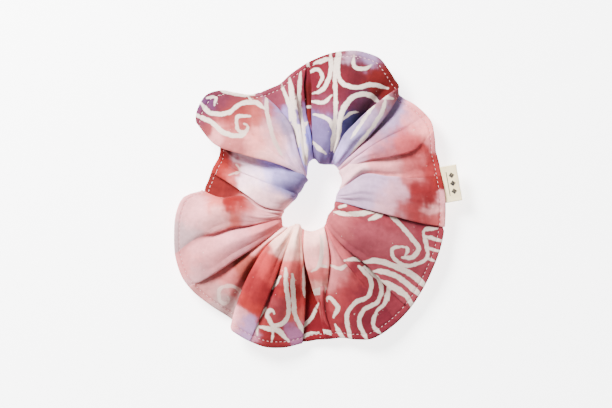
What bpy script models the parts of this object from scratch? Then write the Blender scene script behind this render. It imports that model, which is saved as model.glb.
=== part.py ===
"""A scrunchie: a tube of printed cotton gathered on a flat elastic loop, with a folded label in its seam.

The ring lies flat on its underside. It is built as twelve sectors that draw apart as the elastic
stretches. Each sector holds its length of the cloth tube, of the elastic and of the two seams.
Metres, +Z up, origin at the bottom centre of the whole object.
"""

import math

import bpy
from mathutils import Vector

# Ring
RING_CENTRE = Vector((-0.0025, 0.0007, 0.0))
SECTORS = 12
CLOSING_SEAM_DEG = -10.0  # the first sector starts here, and the last one ends here
STEPS = 6  # stations along one sector, less one
SECTOR_GAP = 0.0004  # between the end faces of two neighbouring sectors
SHARP_DEG = 50.0

# Outline of the gathered cloth, as radii about the ring's centre every 15 degrees from +X
OUTLINE_STEP_DEG = 15.0
OUTER_RADII_MM = (
    67.6, 66.8, 71.5, 71.0, 77.5, 78.5, 72.0, 63.5, 63.0, 76.5, 61.5, 56.0,
    66.0, 75.0, 79.0, 78.0, 80.5, 80.0, 74.5, 76.0, 78.0, 75.3, 71.5, 69.5,
)
INNER_RADII_MM = (
    11.3, 12.8, 16.5, 18.8, 19.6, 18.6, 18.0, 13.5, 9.6, 8.2, 8.0, 8.2,
    9.4, 12.6, 17.2, 18.8, 16.6, 16.8, 17.0, 16.2, 13.6, 11.8, 11.6, 11.2,
)

# Section of the gathered cloth: share of the way from the inner fold to the outer edge, and height.
# The outside is the crests of the gathers, and the tunnel for the elastic is what their folds leave.
OUTSIDE_TOP = (
    (1.00, 0.0101), (0.91, 0.0106), (0.76, 0.0150), (0.54, 0.0205), (0.32, 0.0232), (0.13, 0.0210),
    (0.02, 0.0150),
)
OUTSIDE_BOTTOM = (
    (0.02, 0.0065), (0.13, 0.0015), (0.30, 0.0), (0.56, 0.0), (0.76, 0.0032), (0.91, 0.0074),
    (1.00, 0.0079),
)
TUNNEL = (
    (0.992, 0.0096), (0.91, 0.0100), (0.76, 0.0124), (0.54, 0.0158), (0.32, 0.0170), (0.13, 0.0160),
    (0.06, 0.0145), (0.06, 0.0075), (0.13, 0.0055), (0.32, 0.0042), (0.56, 0.0046), (0.76, 0.0060),
    (0.91, 0.0080), (0.992, 0.0084),
)
FOLDS = 18  # gathers round the ring
FOLD_RISE = 0.09  # how far a gather lifts the top, as a share of its height
SECTION_MIDDLE = 0.0100

# Flat braided elastic, standing on edge inside the inner fold
ELASTIC_INSET = 0.0078  # from the inner fold to the middle of the elastic
ELASTIC_WIDTH = 0.0060
ELASTIC_THICKNESS = 0.0012
ELASTIC_MIDDLE = 0.0110
LAP_SECTOR = 12
LAP_HALF_DEG = 11.0
LAP_STEPS = 4
LAP_OFFSET = 0.0016  # from the middle of the elastic to the middle of the end sewn over it
BARTACK_POINTS = 9
BARTACK_HALF_DEG = 8.0
BARTACK_HALF_WIDE = 0.0015
BARTACK_OFFSET = 0.0029

# Sewing thread
THREAD_RADIUS = 0.00022
TOPSTITCH_INSET = 0.0024  # from the outer edge
TOPSTITCH_HEIGHT = 0.0108
EDGE_SEAM_INSET = 0.0012
EDGE_SEAM_HEIGHT = 0.0090
CLOSING_SEAM_TURN_DEG = 1.6  # inside the first sector
CLOSING_SEAM_LOOP = (
    (0.86, 0.0100), (0.70, 0.0126), (0.50, 0.0152), (0.30, 0.0162), (0.15, 0.0154), (0.09, 0.0140),
    (0.09, 0.0078), (0.15, 0.0062), (0.30, 0.0050), (0.50, 0.0054), (0.70, 0.0064), (0.86, 0.0082),
)

# Label: a folded tape, with its tails in the outer seam and its fold outside
LABEL_DEG = 10.0  # the way it points
LABEL_HINGE_OUT = 0.0679  # from the ring's centre to the fold line along the seam
LABEL_SIDEWAYS = -0.0050  # from there to the label's middle, along the seam
LABEL_PROUD = 0.0082
LABEL_LENGTH = 0.0192
LABEL_THICKNESS = 0.0008
LABEL_HEIGHT = 0.0090
LABEL_ROUNDING = 0.00025
TAIL_LENGTH = 0.0060
TAIL_THICKNESS = 0.0006
TAIL_START = 0.0033  # clear of the edge seam

# Colours, linear
SECTOR_COLOURS = (
    (0.66, 0.40, 0.45), (0.66, 0.44, 0.48), (0.36, 0.09, 0.13), (0.40, 0.12, 0.18),
    (0.38, 0.20, 0.30), (0.55, 0.36, 0.40), (0.48, 0.18, 0.18), (0.66, 0.47, 0.46),
    (0.50, 0.14, 0.13), (0.46, 0.12, 0.13), (0.42, 0.10, 0.13), (0.42, 0.10, 0.13),
)
ELASTIC_COLOUR = (0.75, 0.73, 0.70)
THREAD_COLOUR = (0.74, 0.52, 0.54)
LABEL_COLOUR = (0.83, 0.77, 0.62)
CLOTH_ROUGHNESS = 0.85
ELASTIC_ROUGHNESS = 0.65
THREAD_ROUGHNESS = 0.60


def clear_scene():
    """Removes every object that the file opened with."""
    for old in list(bpy.data.objects):
        bpy.data.objects.remove(old)


def fabric(name, colour, roughness):
    """A plain Principled material."""
    material = bpy.data.materials.new(name)
    material.use_nodes = True
    shader = material.node_tree.nodes["Principled BSDF"]
    shader.inputs["Base Color"].default_value = (*colour, 1.0)
    shader.inputs["Roughness"].default_value = roughness
    shader.inputs["Metallic"].default_value = 0.0
    material.diffuse_color = (*colour, 1.0)
    return material


def radius_at(radii_mm, degrees):
    """A closed smooth curve through the radii, as a Catmull-Rom spline, in metres."""
    place = (degrees % 360.0) / OUTLINE_STEP_DEG
    first = int(place)
    t = place - first
    before, a, b, after = (radii_mm[(first + k) % len(radii_mm)] for k in (-1, 0, 1, 2))
    slope_a = (b - before) / 2
    slope_b = (after - a) / 2
    blend = 3 * t ** 2 - 2 * t ** 3
    value = a + (b - a) * blend
    value += slope_a * (t ** 3 - 2 * t ** 2 + t) + slope_b * (t ** 3 - t ** 2)
    return value / 1000.0


def inner_radius(degrees):
    """From the ring's centre to the inner fold."""
    return radius_at(INNER_RADII_MM, degrees)


def outer_radius(degrees):
    """From the ring's centre to the outer edge."""
    return radius_at(OUTER_RADII_MM, degrees)


def outward(degrees):
    """The level direction that leads away from the ring's centre."""
    return Vector((math.cos(math.radians(degrees)), math.sin(math.radians(degrees)), 0.0))


def along_ring(degrees):
    """The level direction along the ring, anticlockwise."""
    return Vector((-math.sin(math.radians(degrees)), math.cos(math.radians(degrees)), 0.0))


def ring_point(degrees, radius, height, slip=0.0):
    """A point on the ring, moved along it by slip."""
    flat = RING_CENTRE + outward(degrees) * radius + along_ring(degrees) * slip
    return Vector((flat.x, flat.y, height))


def sector_angles(sector):
    """Where a sector starts and ends."""
    turn = 360.0 / SECTORS
    start = CLOSING_SEAM_DEG + turn * (sector - 1)
    return start, start + turn


def stations(sector):
    """The angle and the slip of each station along a sector; the slip opens the gap at its ends."""
    start, end = sector_angles(sector)
    for step in range(STEPS + 1):
        slip = SECTOR_GAP / 2 * ((step == 0) - (step == STEPS))
        yield start + (end - start) * step / STEPS, slip


def across_tube(degrees, outline):
    """An outline of shares and heights as radii and heights at one station."""
    inner, outer = inner_radius(degrees), outer_radius(degrees)
    return [Vector((inner + (outer - inner) * share, height)) for share, height in outline]


def gathered_outline(degrees):
    """The outside of the cloth at one station, from the top of the outer edge inwards and back below."""
    ripple = FOLD_RISE * math.cos(math.radians(FOLDS * (degrees - CLOSING_SEAM_DEG)))
    crests = []
    for share, height in OUTSIDE_TOP:
        lift = 1.0 + ripple * (1.0 - share)
        crests.append((share, SECTION_MIDDLE + (height - SECTION_MIDDLE) * lift))
    return across_tube(degrees, (*crests, *OUTSIDE_BOTTOM))


def in_space(outline, degrees, slip):
    """An outline of radii and heights stood up at one station of the ring."""
    return [ring_point(degrees, corner.x, corner.y, slip) for corner in outline]


def finish_object(name, data, material, home):
    """Links a piece, whose points are given from its home empty, under that empty."""
    piece = bpy.data.objects.new(name, data)
    piece.data.materials.append(material)
    bpy.context.scene.collection.objects.link(piece)
    piece.parent = home
    return piece


def band(first, second, count, flip):
    """The faces between two closed rows of points, given by their first indices."""
    for place in range(count):
        nearby = (place + 1) % count
        face = (first + place, second + place, second + nearby, first + nearby)
        yield face[::-1] if flip else face


def lofted(name, rows, hollow_rows, material, home):
    """A solid through closed rows of points, with flat ends, and with a tunnel if it has hollow rows."""
    count, last = len(rows[0]), len(rows) - 1
    points = [point - home.location for row in rows + hollow_rows for point in row]
    inside = len(rows) * count
    faces = []
    for row in range(last):
        faces.extend(band(row * count, (row + 1) * count, count, False))
        if hollow_rows:
            faces.extend(band(inside + row * count, inside + (row + 1) * count, count, True))
    if hollow_rows:
        faces.extend(band(inside, 0, count, False))
        faces.extend(band(inside + last * count, last * count, count, True))
    else:
        faces.append(tuple(range(count)))
        faces.append(tuple(range(last * count, (last + 1) * count))[::-1])
    mesh = bpy.data.meshes.new(name)
    mesh.from_pydata(points, [], faces)
    mesh.shade_smooth()
    mesh.set_sharp_from_angle(angle=math.radians(SHARP_DEG))
    return finish_object(name, mesh, material, home)


def thread(name, points, closed, material, home):
    """A sewing thread along a route."""
    curve = bpy.data.curves.new(name, "CURVE")
    curve.dimensions = "3D"
    curve.bevel_depth = THREAD_RADIUS
    curve.bevel_resolution = 1
    curve.use_fill_caps = not closed
    spline = curve.splines.new("POLY")
    spline.points.add(len(points) - 1)
    for knot, point in zip(spline.points, points):
        knot.co = (*(point - home.location), 1.0)
    spline.use_cyclic_u = closed
    return finish_object(name, curve, material, home)


def slab(name, size, centre, turn_deg, rounding, material, home):
    """A flat block with rounded edges, turned about Z."""
    bpy.ops.mesh.primitive_cube_add(size=1.0)
    piece = bpy.context.object
    piece.name = name
    piece.data.name = name
    for corner in piece.data.vertices:
        corner.co = Vector(corner.co) * Vector(size)
    piece.data.materials.append(material)
    piece.parent = home
    piece.location = centre - home.location
    piece.rotation_euler.z = math.radians(turn_deg)
    bevel = piece.modifiers.new("rounded", "BEVEL")
    bevel.width = rounding
    bevel.segments = 2
    return piece


def empty_at(name, location):
    """An empty that a body's pieces hang from."""
    home = bpy.data.objects.new(name, None)
    home.location = location
    home.empty_display_size = 0.005
    bpy.context.scene.collection.objects.link(home)
    return home


def make_cover(sector, home):
    """One sector of the cloth tube, open at both ends."""
    outside, inside = [], []
    for degrees, slip in stations(sector):
        outside.append(in_space(gathered_outline(degrees), degrees, slip))
        inside.append(in_space(across_tube(degrees, TUNNEL), degrees, slip))
    material = fabric(f"cloth_{sector:02d}", SECTOR_COLOURS[sector - 1], CLOTH_ROUGHNESS)
    lofted(f"cloth_cover_{sector:02d}", outside, inside, material, home)


def elastic_section(degrees, offset):
    """The elastic's outline at one station, as radius and height."""
    radius = inner_radius(degrees) + ELASTIC_INSET + offset
    half_wide, half_thick = ELASTIC_WIDTH / 2, ELASTIC_THICKNESS / 2
    return [
        Vector((radius + side * half_thick, ELASTIC_MIDDLE + rise * half_wide))
        for side, rise in ((1, -1), (1, 1), (-1, 1), (-1, -1))
    ]


def make_elastic(sector, material, home):
    """One sector of the elastic loop."""
    rows = [in_space(elastic_section(degrees, 0.0), degrees, slip) for degrees, slip in stations(sector)]
    lofted(f"elastic_band_{sector:02d}", rows, [], material, home)


def make_elastic_join(elastic, stitch, home):
    """The end of the elastic sewn over its start, and the zigzag that holds it."""
    start, end = sector_angles(LAP_SECTOR)
    middle = (start + end) / 2
    rows = []
    for step in range(LAP_STEPS + 1):
        degrees = middle + LAP_HALF_DEG * (2 * step / LAP_STEPS - 1)
        rows.append(in_space(elastic_section(degrees, LAP_OFFSET), degrees, 0.0))
    lofted("elastic_lap", rows, [], elastic, home)
    route = []
    for knot in range(BARTACK_POINTS):
        degrees = middle + BARTACK_HALF_DEG * (2 * knot / (BARTACK_POINTS - 1) - 1)
        radius = inner_radius(degrees) + ELASTIC_INSET + BARTACK_OFFSET
        rise = BARTACK_HALF_WIDE * (1 if knot % 2 else -1)
        route.append(ring_point(degrees, radius, ELASTIC_MIDDLE + rise))
    thread("elastic_bartack", route, False, stitch, home)


def make_edge_threads(sector, material, home):
    """The seam that closes the tube, inside its outer edge, and the topstitching above it."""
    for name, inset, height in (
        ("topstitch", TOPSTITCH_INSET, TOPSTITCH_HEIGHT),
        ("edge_seam", EDGE_SEAM_INSET, EDGE_SEAM_HEIGHT),
    ):
        route = [
            ring_point(degrees, outer_radius(degrees) - inset, height, slip)
            for degrees, slip in stations(sector)
        ]
        thread(f"{name}_{sector:02d}", route, False, material, home)


def make_closing_seam(material, home):
    """The seam that joins the two ends of the cloth tube, sewn all round it from inside."""
    degrees = CLOSING_SEAM_DEG + CLOSING_SEAM_TURN_DEG
    route = in_space(across_tube(degrees, CLOSING_SEAM_LOOP), degrees, 0.0)
    thread("closing_seam", route, True, material, home)


def make_label(sector_home):
    """The label's tails, held in the seam, and its flap, which swings on the seam."""
    label = fabric("label_cotton", LABEL_COLOUR, CLOTH_ROUGHNESS)
    out = outward(LABEL_DEG)
    aside = along_ring(LABEL_DEG) * LABEL_SIDEWAYS
    level = Vector((0.0, 0.0, LABEL_HEIGHT))
    hinge = RING_CENTRE + out * LABEL_HINGE_OUT + aside + level
    swing = empty_at("label_swing", hinge)
    slab(
        "label_flap",
        (LABEL_PROUD, LABEL_LENGTH, LABEL_THICKNESS),
        hinge + out * (LABEL_PROUD / 2),
        LABEL_DEG,
        LABEL_ROUNDING,
        label,
        swing,
    )
    slab(
        "label_tail",
        (TAIL_LENGTH, LABEL_LENGTH, TAIL_THICKNESS),
        hinge - out * (TAIL_START + TAIL_LENGTH / 2),
        LABEL_DEG,
        LABEL_ROUNDING / 2,
        label,
        sector_home,
    )


def main():
    """Builds the ring sector by sector, then the joins and the label."""
    clear_scene()
    elastic = fabric("braided_elastic", ELASTIC_COLOUR, ELASTIC_ROUGHNESS)
    stitch = fabric("sewing_thread", THREAD_COLOUR, THREAD_ROUGHNESS)
    homes = {}
    for sector in range(1, SECTORS + 1):
        middle = sum(sector_angles(sector)) / 2
        radius = inner_radius(middle) + ELASTIC_INSET
        homes[sector] = empty_at(f"sector_{sector:02d}", ring_point(middle, radius, ELASTIC_MIDDLE))
        bpy.context.view_layer.update()
        make_cover(sector, homes[sector])
        make_elastic(sector, elastic, homes[sector])
        make_edge_threads(sector, stitch, homes[sector])
    make_elastic_join(elastic, stitch, homes[LAP_SECTOR])
    make_closing_seam(stitch, homes[1])
    make_label(homes[1])


main()
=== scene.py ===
"""Looks of a gathered scrunchie: printed cotton, sewing thread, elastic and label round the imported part.

The cloth is one tube of printed cotton, described by an angle round the ring, a share of the way from
the inner fold to the outer edge, and a side, top or underside. Lengths are in millimetres unless a name
says otherwise, and meshes are turned to metres when they are made.
"""

from __future__ import annotations

import logging
import math
from collections.abc import Iterator, Sequence
from dataclasses import dataclass, field
from enum import Enum

import bpy
import numpy as np
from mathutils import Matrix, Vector


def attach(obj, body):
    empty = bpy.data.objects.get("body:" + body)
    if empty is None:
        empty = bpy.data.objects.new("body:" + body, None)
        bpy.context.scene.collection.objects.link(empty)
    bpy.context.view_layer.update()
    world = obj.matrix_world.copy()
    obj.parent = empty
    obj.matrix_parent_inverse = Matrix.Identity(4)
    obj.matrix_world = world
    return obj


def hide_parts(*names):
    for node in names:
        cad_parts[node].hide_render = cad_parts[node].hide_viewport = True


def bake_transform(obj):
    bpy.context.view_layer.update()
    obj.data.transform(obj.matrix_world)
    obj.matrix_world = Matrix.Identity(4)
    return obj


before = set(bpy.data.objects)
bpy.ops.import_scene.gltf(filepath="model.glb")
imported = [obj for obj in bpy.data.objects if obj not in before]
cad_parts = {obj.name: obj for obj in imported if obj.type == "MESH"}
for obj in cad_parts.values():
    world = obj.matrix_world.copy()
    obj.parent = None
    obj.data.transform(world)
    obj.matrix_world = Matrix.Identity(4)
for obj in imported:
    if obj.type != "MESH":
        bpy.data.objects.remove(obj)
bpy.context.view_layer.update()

MM = 0.001
SEED = 7
# Flat width of the tube, and how far inside the edge its topstitching runs
LAYER_WIDTH = 58.0
STITCH_INSET = 2.5
# How softly the cloth comes to rest on a level, in millimetres
REST_SOFTNESS = 0.35
# Where a turned stretch of cloth leans out furthest, and what makes that lean 1
LEAN_AT = 0.447
LEAN_GAIN = 3.494
LOG = logging.getLogger("scrunchie")

Array = np.ndarray
Polar = tuple[float, float]
Colour = tuple[int, int, int]


# ---------------------------------------------------------------- small maths


def smoothstep(x: Array | float) -> Array:
    """Eased 0 to 1.

    Args:
        x: values, any of them outside 0 to 1.

    Returns:
        The eased values, held at 0 and 1 outside.
    """
    held = np.clip(x, 0.0, 1.0)
    return held * held * (3.0 - 2.0 * held)


def smooth_curve(knots: Sequence[float], values: Sequence[float], at: Array) -> Array:
    """A smooth curve through points that never overshoots them.

    Args:
        knots: rising positions.
        values: one value for each knot.
        at: where to read the curve.

    Returns:
        The curve's values, flat past both ends.
    """
    x, y = np.asarray(knots, float), np.asarray(values, float)
    run, rise = np.diff(x), np.diff(y) / np.diff(x)
    slope = np.zeros_like(y)
    same_way = rise[:-1] * rise[1:] > 0
    weight_a, weight_b = 2 * run[1:] + run[:-1], run[1:] + 2 * run[:-1]
    safe = np.where(same_way, rise[:-1], 1.0), np.where(same_way, rise[1:], 1.0)
    slope[1:-1] = np.where(same_way, (weight_a + weight_b) / (weight_a / safe[0] + weight_b / safe[1]), 0.0)
    slope[0], slope[-1] = rise[0], rise[-1]
    held = np.clip(at, x[0], x[-1])
    cell = np.clip(np.searchsorted(x, held, side="right") - 1, 0, len(x) - 2)
    t = (held - x[cell]) / run[cell]
    return (
        y[cell] * (1 + 2 * t) * (1 - t) ** 2
        + slope[cell] * run[cell] * t * (1 - t) ** 2
        + y[cell + 1] * t * t * (3 - 2 * t)
        + slope[cell + 1] * run[cell] * t * t * (t - 1)
    )


def ring_curve(points: Sequence[Polar], at: Array) -> Array:
    """A smooth closed curve of a value against an angle in degrees.

    Args:
        points: angle and value, by rising angle within one turn.
        at: angles to read.

    Returns:
        The value at each angle.
    """
    knots = np.array([angle for angle, _ in points])
    values = np.array([value for _, value in points])
    wide = np.concatenate([knots[-2:] - 360.0, knots, knots[:2] + 360.0])
    many = np.concatenate([values[-2:], values, values[:2]])
    turned = (np.asarray(at) - knots[0]) % 360.0 + knots[0]
    return smooth_curve(wide, many, turned)


def kept_above(height: Array, level: float) -> Array:
    """Heights that come softly to rest on a level and never pass below it."""
    return level + np.logaddexp(0.0, (height - level) / REST_SOFTNESS) * REST_SOFTNESS


def stitch_groove(shares: Array, width: float) -> Array:
    """How much the topstitching pulls the cloth in, 1 on its own line."""
    return np.exp(-(((1 - shares) * LAYER_WIDTH - STITCH_INSET) / width) ** 2)


@dataclass(frozen=True)
class Ripple:
    """Smooth random waves over a plane: a few sines of mixed directions."""

    length: float
    spread: float = 0.5
    waves: int = 9
    seed: int = SEED

    def read(self, x: Array, y: Array) -> Array:
        """Height of the waves.

        Args:
            x: first coordinates.
            y: second coordinates.

        Returns:
            Heights of about -1 to 1.
        """
        pick = np.random.default_rng(self.seed)
        total = np.zeros(np.broadcast(x, y).shape)
        for _ in range(self.waves):
            turn, phase = pick.uniform(0, 2 * math.pi, 2)
            long = self.length * pick.uniform(1 - self.spread, 1 + self.spread)
            total += np.sin(2 * math.pi * (x * math.cos(turn) + y * math.sin(turn)) / long + phase)
        return total / math.sqrt(self.waves)


# ---------------------------------------------------------------- the folded cloth


class Over(Enum):
    """Which side of a fold line lies on top, seen from above; a crease has neither."""

    CLOCKWISE = 1.0
    ANTICLOCKWISE = -1.0
    CREASE = 0.0


FOLD_SHARES = (0.0, 0.25, 0.5, 0.75, 1.0)


@dataclass(frozen=True)
class Fold:
    """A fold that runs from the opening to the edge, each list read at five shares of that way.

    Attributes:
        line: angle of the visible fold line.
        over: the side on top.
        overlap: how far the cloth below runs on under the fold.
        step: half the drop from the upper side to the lower one.
        valley: how much of the tube's height the furrow takes away.
        half_width: half of the stretch of cloth that turns over, as an angle.
        named: the angle that names the fold along the cloth, or None for the line's own middle.
        clear: how far from the fold the lower side starts to follow its own outline, as an angle.
    """

    line: tuple[float, float, float, float, float]
    over: Over
    overlap: tuple[float, float, float, float, float]
    step: tuple[float, float, float, float, float]
    valley: tuple[float, float, float, float, float]
    half_width: float = 2.4
    named: float | None = None
    clear: float = 0.3

    @property
    def middle(self) -> float:
        """The angle that names this fold along the cloth."""
        return self.line[2] if self.named is None else self.named

    def at(self, shares: Array, values: Sequence[float]) -> Array:
        """One of the fold's lists.

        Args:
            shares: where to read it, 0 at the opening and 1 at the edge.
            values: the list.

        Returns:
            Its value at each share.
        """
        return smooth_curve(FOLD_SHARES, values, shares)


CW, CCW, CREASE = Over.CLOCKWISE, Over.ANTICLOCKWISE, Over.CREASE
NONE = (0.0, 0.0, 0.0, 0.0, 0.0)

CLOSING_FOLD = Fold(
    (-7.5, -11.5, -12.5, -13.0, -12.3), CCW, (1.5, 3.5, 5.0, 5.0, 4.0), (0.6, 1.1, 1.3, 1.0, 0.7),
    (0.35, 0.22, 0.12, 0.05, 0.0), 3.0,
)
FOLDS = (
    Fold((18.0, 25.0, 15.7, 11.5, 10.0), CW, (0.9, 1.2, 1.2, 0.0, 0.0), (0.5, 1.1, 0.9, 0.3, 0.0),
         (0.50, 0.34, 0.22, 0.08, 0.0)),
    Fold((43.0, 36.5, 28.5, 25.5, 29.5), CCW, (0.8, 1.4, 1.2, 0.4, 0.0), (0.6, 1.2, 1.9, 1.5, 0.0),
         (0.45, 0.34, 0.32, 0.30, 0.0), 3.2),
    Fold((47.0, 44.0, 41.0, 38.0, 37.0), CREASE, NONE, NONE, (0.40, 0.26, 0.06, 0.0, 0.0), 1.5),
    Fold((52.0, 50.0, 48.5, 49.0, 50.6), CCW, (0.9, 1.6, 3.6, 4.4, 1.6), (0.5, 1.3, 2.6, 2.2, 0.8),
         (0.45, 0.44, 0.42, 0.34, 0.0), 2.0),
    Fold((63.5, 65.0, 60.5, 56.3, 52.6), CW, (0.8, 1.8, 3.0, 2.2, 0.4), (0.4, 1.0, 1.8, 1.1, 0.3),
         (0.48, 0.52, 0.56, 0.40, 0.0), 2.0),
    Fold((67.0, 70.0, 76.0, 78.5, 81.5), CREASE, NONE, NONE, (0.48, 0.26, 0.13, 0.08, 0.0)),
    Fold((89.5, 91.0, 91.4, 90.9, 92.0), CW, (0.7, 1.2, 3.2, 1.6, 0.0), (0.4, 1.1, 2.4, 1.4, 0.1),
         (0.50, 0.52, 0.78, 0.50, 0.0), 1.3),
    Fold((91.5, 93.0, 95.4, 95.4, 93.0), CCW, (0.0, 0.8, 2.6, 1.4, 0.0), (0.2, 0.7, 2.0, 1.2, 0.1),
         (0.50, 0.52, 0.78, 0.50, 0.0), 1.3),
    Fold((102.0, 101.0, 100.6, 100.0, 99.0), CREASE, NONE, NONE, (0.36, 0.24, 0.14, 0.10, 0.0)),
    Fold((109.0, 109.3, 107.5, 111.5, 117.5), CCW, (0.9, 1.9, 2.6, 1.8, 1.0), (0.6, 1.2, 1.5, 1.2, 0.8),
         (0.48, 0.36, 0.26, 0.14, 0.0), 2.0),
    Fold((111.0, 121.5, 119.0, 120.0, 123.0), CREASE, NONE, NONE, (0.46, 0.36, 0.22, 0.0, 0.0)),
    Fold((112.5, 129.5, 134.5, 138.5, 140.0), CREASE, NONE, NONE, (0.46, 0.34, 0.28, 0.12, 0.0)),
    Fold((114.5, 136.5, 147.5, 151.6, 147.5), CW, (0.8, 2.8, 6.0, 9.0, 9.0), (0.6, 1.7, 2.5, 2.4, 1.8),
         (0.50, 0.40, 0.34, 0.16, 0.0), 3.6, clear=2.8),
    Fold((166.0, 163.0, 161.0, 160.0, 156.0), CREASE, NONE, NONE, (0.52, 0.14, 0.0, 0.0, 0.0)),
    Fold((203.0, 190.5, 176.8, 169.6, 165.8), CW, (1.0, 2.2, 3.8, 4.4, 3.0), (0.6, 1.6, 2.4, 2.3, 1.1),
         (0.46, 0.40, 0.42, 0.34, 0.0), 2.2),
    Fold((206.0, 193.0, 178.4, 180.3, 176.8), CCW, (0.0, 0.0, 1.0, 5.0, 6.5), (0.0, 0.1, 0.8, 2.0, 1.6),
         (0.20, 0.20, 0.30, 0.26, 0.0), 1.8, 181.0, 1.4),
    Fold((211.0, 203.8, 199.3, 199.0, 202.0), CW, (0.5, 1.4, 1.4, 0.0, 0.0), (0.6, 1.9, 2.6, 1.0, 0.0),
         (0.48, 0.52, 0.66, 0.46, 0.0), 2.6),
    Fold((222.0, 219.8, 218.0, 217.0, 215.5), CW, (0.7, 1.8, 2.8, 1.4, 0.0), (0.5, 1.8, 2.8, 2.0, 0.2),
         (0.48, 0.55, 0.66, 0.58, 0.0)),
    Fold((230.0, 226.0, 229.0, 233.0, 237.0), CCW, (0.8, 1.8, 4.4, 6.0, 6.0), (0.5, 1.6, 3.0, 2.6, 1.5),
         (0.46, 0.46, 0.52, 0.30, 0.0), 2.3, clear=2.8),
    Fold((236.5, 241.5, 244.5, 245.3, 246.0), CW, (0.7, 1.6, 2.2, 1.0, 0.0), (0.4, 1.0, 1.4, 0.7, 0.0),
         (0.48, 0.42, 0.36, 0.15, 0.0), 2.0),
    Fold((249.0, 259.3, 264.3, 265.3, 265.2), CW, (0.7, 1.5, 2.8, 1.8, 0.6), (0.4, 1.0, 1.9, 1.4, 0.5),
         (0.46, 0.46, 0.62, 0.44, 0.0), 1.7),
    Fold((253.0, 261.6, 268.5, 273.0, 274.5), CCW, (0.0, 0.9, 2.6, 1.8, 0.0), (0.2, 0.7, 1.7, 1.4, 0.2),
         (0.30, 0.40, 0.58, 0.40, 0.0), 1.7),
    Fold((288.0, 284.5, 278.8, 276.6, 277.5), CW, (0.8, 1.9, 3.6, 2.6, 0.0), (0.5, 1.3, 1.9, 1.7, 0.2),
         (0.46, 0.34, 0.20, 0.12, 0.0), 2.0),
    Fold((291.0, 294.0, 299.0, 302.0, 304.0), CCW, (0.0, 0.9, 1.2, 0.0, 0.0), (0.3, 0.7, 0.9, 0.4, 0.0),
         (0.34, 0.28, 0.16, 0.0, 0.0), 1.8),
    Fold((294.0, 302.0, 308.4, 309.6, 311.0), CCW, (0.9, 2.2, 4.4, 2.6, 0.0), (0.6, 1.7, 2.8, 2.2, 0.2),
         (0.46, 0.48, 0.60, 0.50, 0.0)),
    Fold((333.0, 335.0, 335.3, 334.0, 332.0), CREASE, NONE, NONE, (0.42, 0.20, 0.10, 0.04, 0.0)),
)

# Outer edge of the cloth and the edge of the opening, as angle and radius about the ring's centre
OUTLINE = (
    (-12, 69.3), (0, 67.9), (10, 67.2), (20, 67.4), (27, 70.0), (34, 72.6), (42, 71.5), (50.2, 69.3),
    (52.4, 71.4), (55.0, 73.6), (60, 76.8), (66, 80.0), (72, 79.6), (80, 77.0), (90, 71.8), (100, 65.8),
    (108, 61.4), (115, 61.2), (121, 62.4), (127, 68.2), (131, 73.6), (137, 77.0), (142, 75.8),
    (147, 72.2), (150, 56.5), (157, 53.8), (162, 54.5), (167.5, 54.6), (174, 57.0), (177.0, 58.6),
    (179.0, 66.5), (185, 71.2), (195, 75.0), (205, 78.6), (212, 79.8), (218, 79.2), (225, 77.6),
    (234.5, 76.2), (238.5, 80.8), (250, 81.4), (258, 79.4), (265, 75.9), (272, 73.7), (280, 73.8),
    (287, 76.8), (293, 79.0), (300, 78.2), (310, 76.2), (320, 73.6), (330, 71.5), (340, 70.3),
)
OPENING = (
    (-10, 11.0), (0, 11.4), (10, 12.2), (20, 14.0), (30, 17.0), (45, 18.9), (58, 20.2), (68, 18.6),
    (80, 18.2), (89, 20.0), (97, 19.2), (104, 14.6), (112, 10.4), (122, 9.0), (135, 8.0), (150, 7.7),
    (165, 8.0), (180, 9.2), (193, 12.4), (205, 17.4), (215, 20.4), (224, 21.6), (232, 18.0), (240, 15.6),
    (250, 16.9), (262, 17.6), (276, 16.8), (290, 15.4), (301, 13.0), (313, 11.6), (335, 11.4),
)
# Height of the outer edge above the table
EDGE_LEVEL = (
    (-12, 8.8), (0, 9.0), (14, 9.0), (27, 10.5), (38, 8.0), (50, 7.0), (53, 10.0), (62, 12.5), (72, 12.5),
    (84, 10.0), (97, 7.5), (108, 7.5), (118, 9.5), (128, 12.0), (140, 14.0), (147, 13.0), (151, 5.0),
    (160, 3.6), (172, 3.6), (177, 4.6), (180, 9.0), (192, 9.6), (203, 8.6), (214, 8.6), (222, 6.4),
    (234, 5.6), (239, 9.6), (250, 9.2), (260, 6.6), (270, 4.8), (280, 5.6), (292, 8.4), (304, 7.8),
    (314, 6.6), (326, 8.6), (340, 8.2),
)


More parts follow.
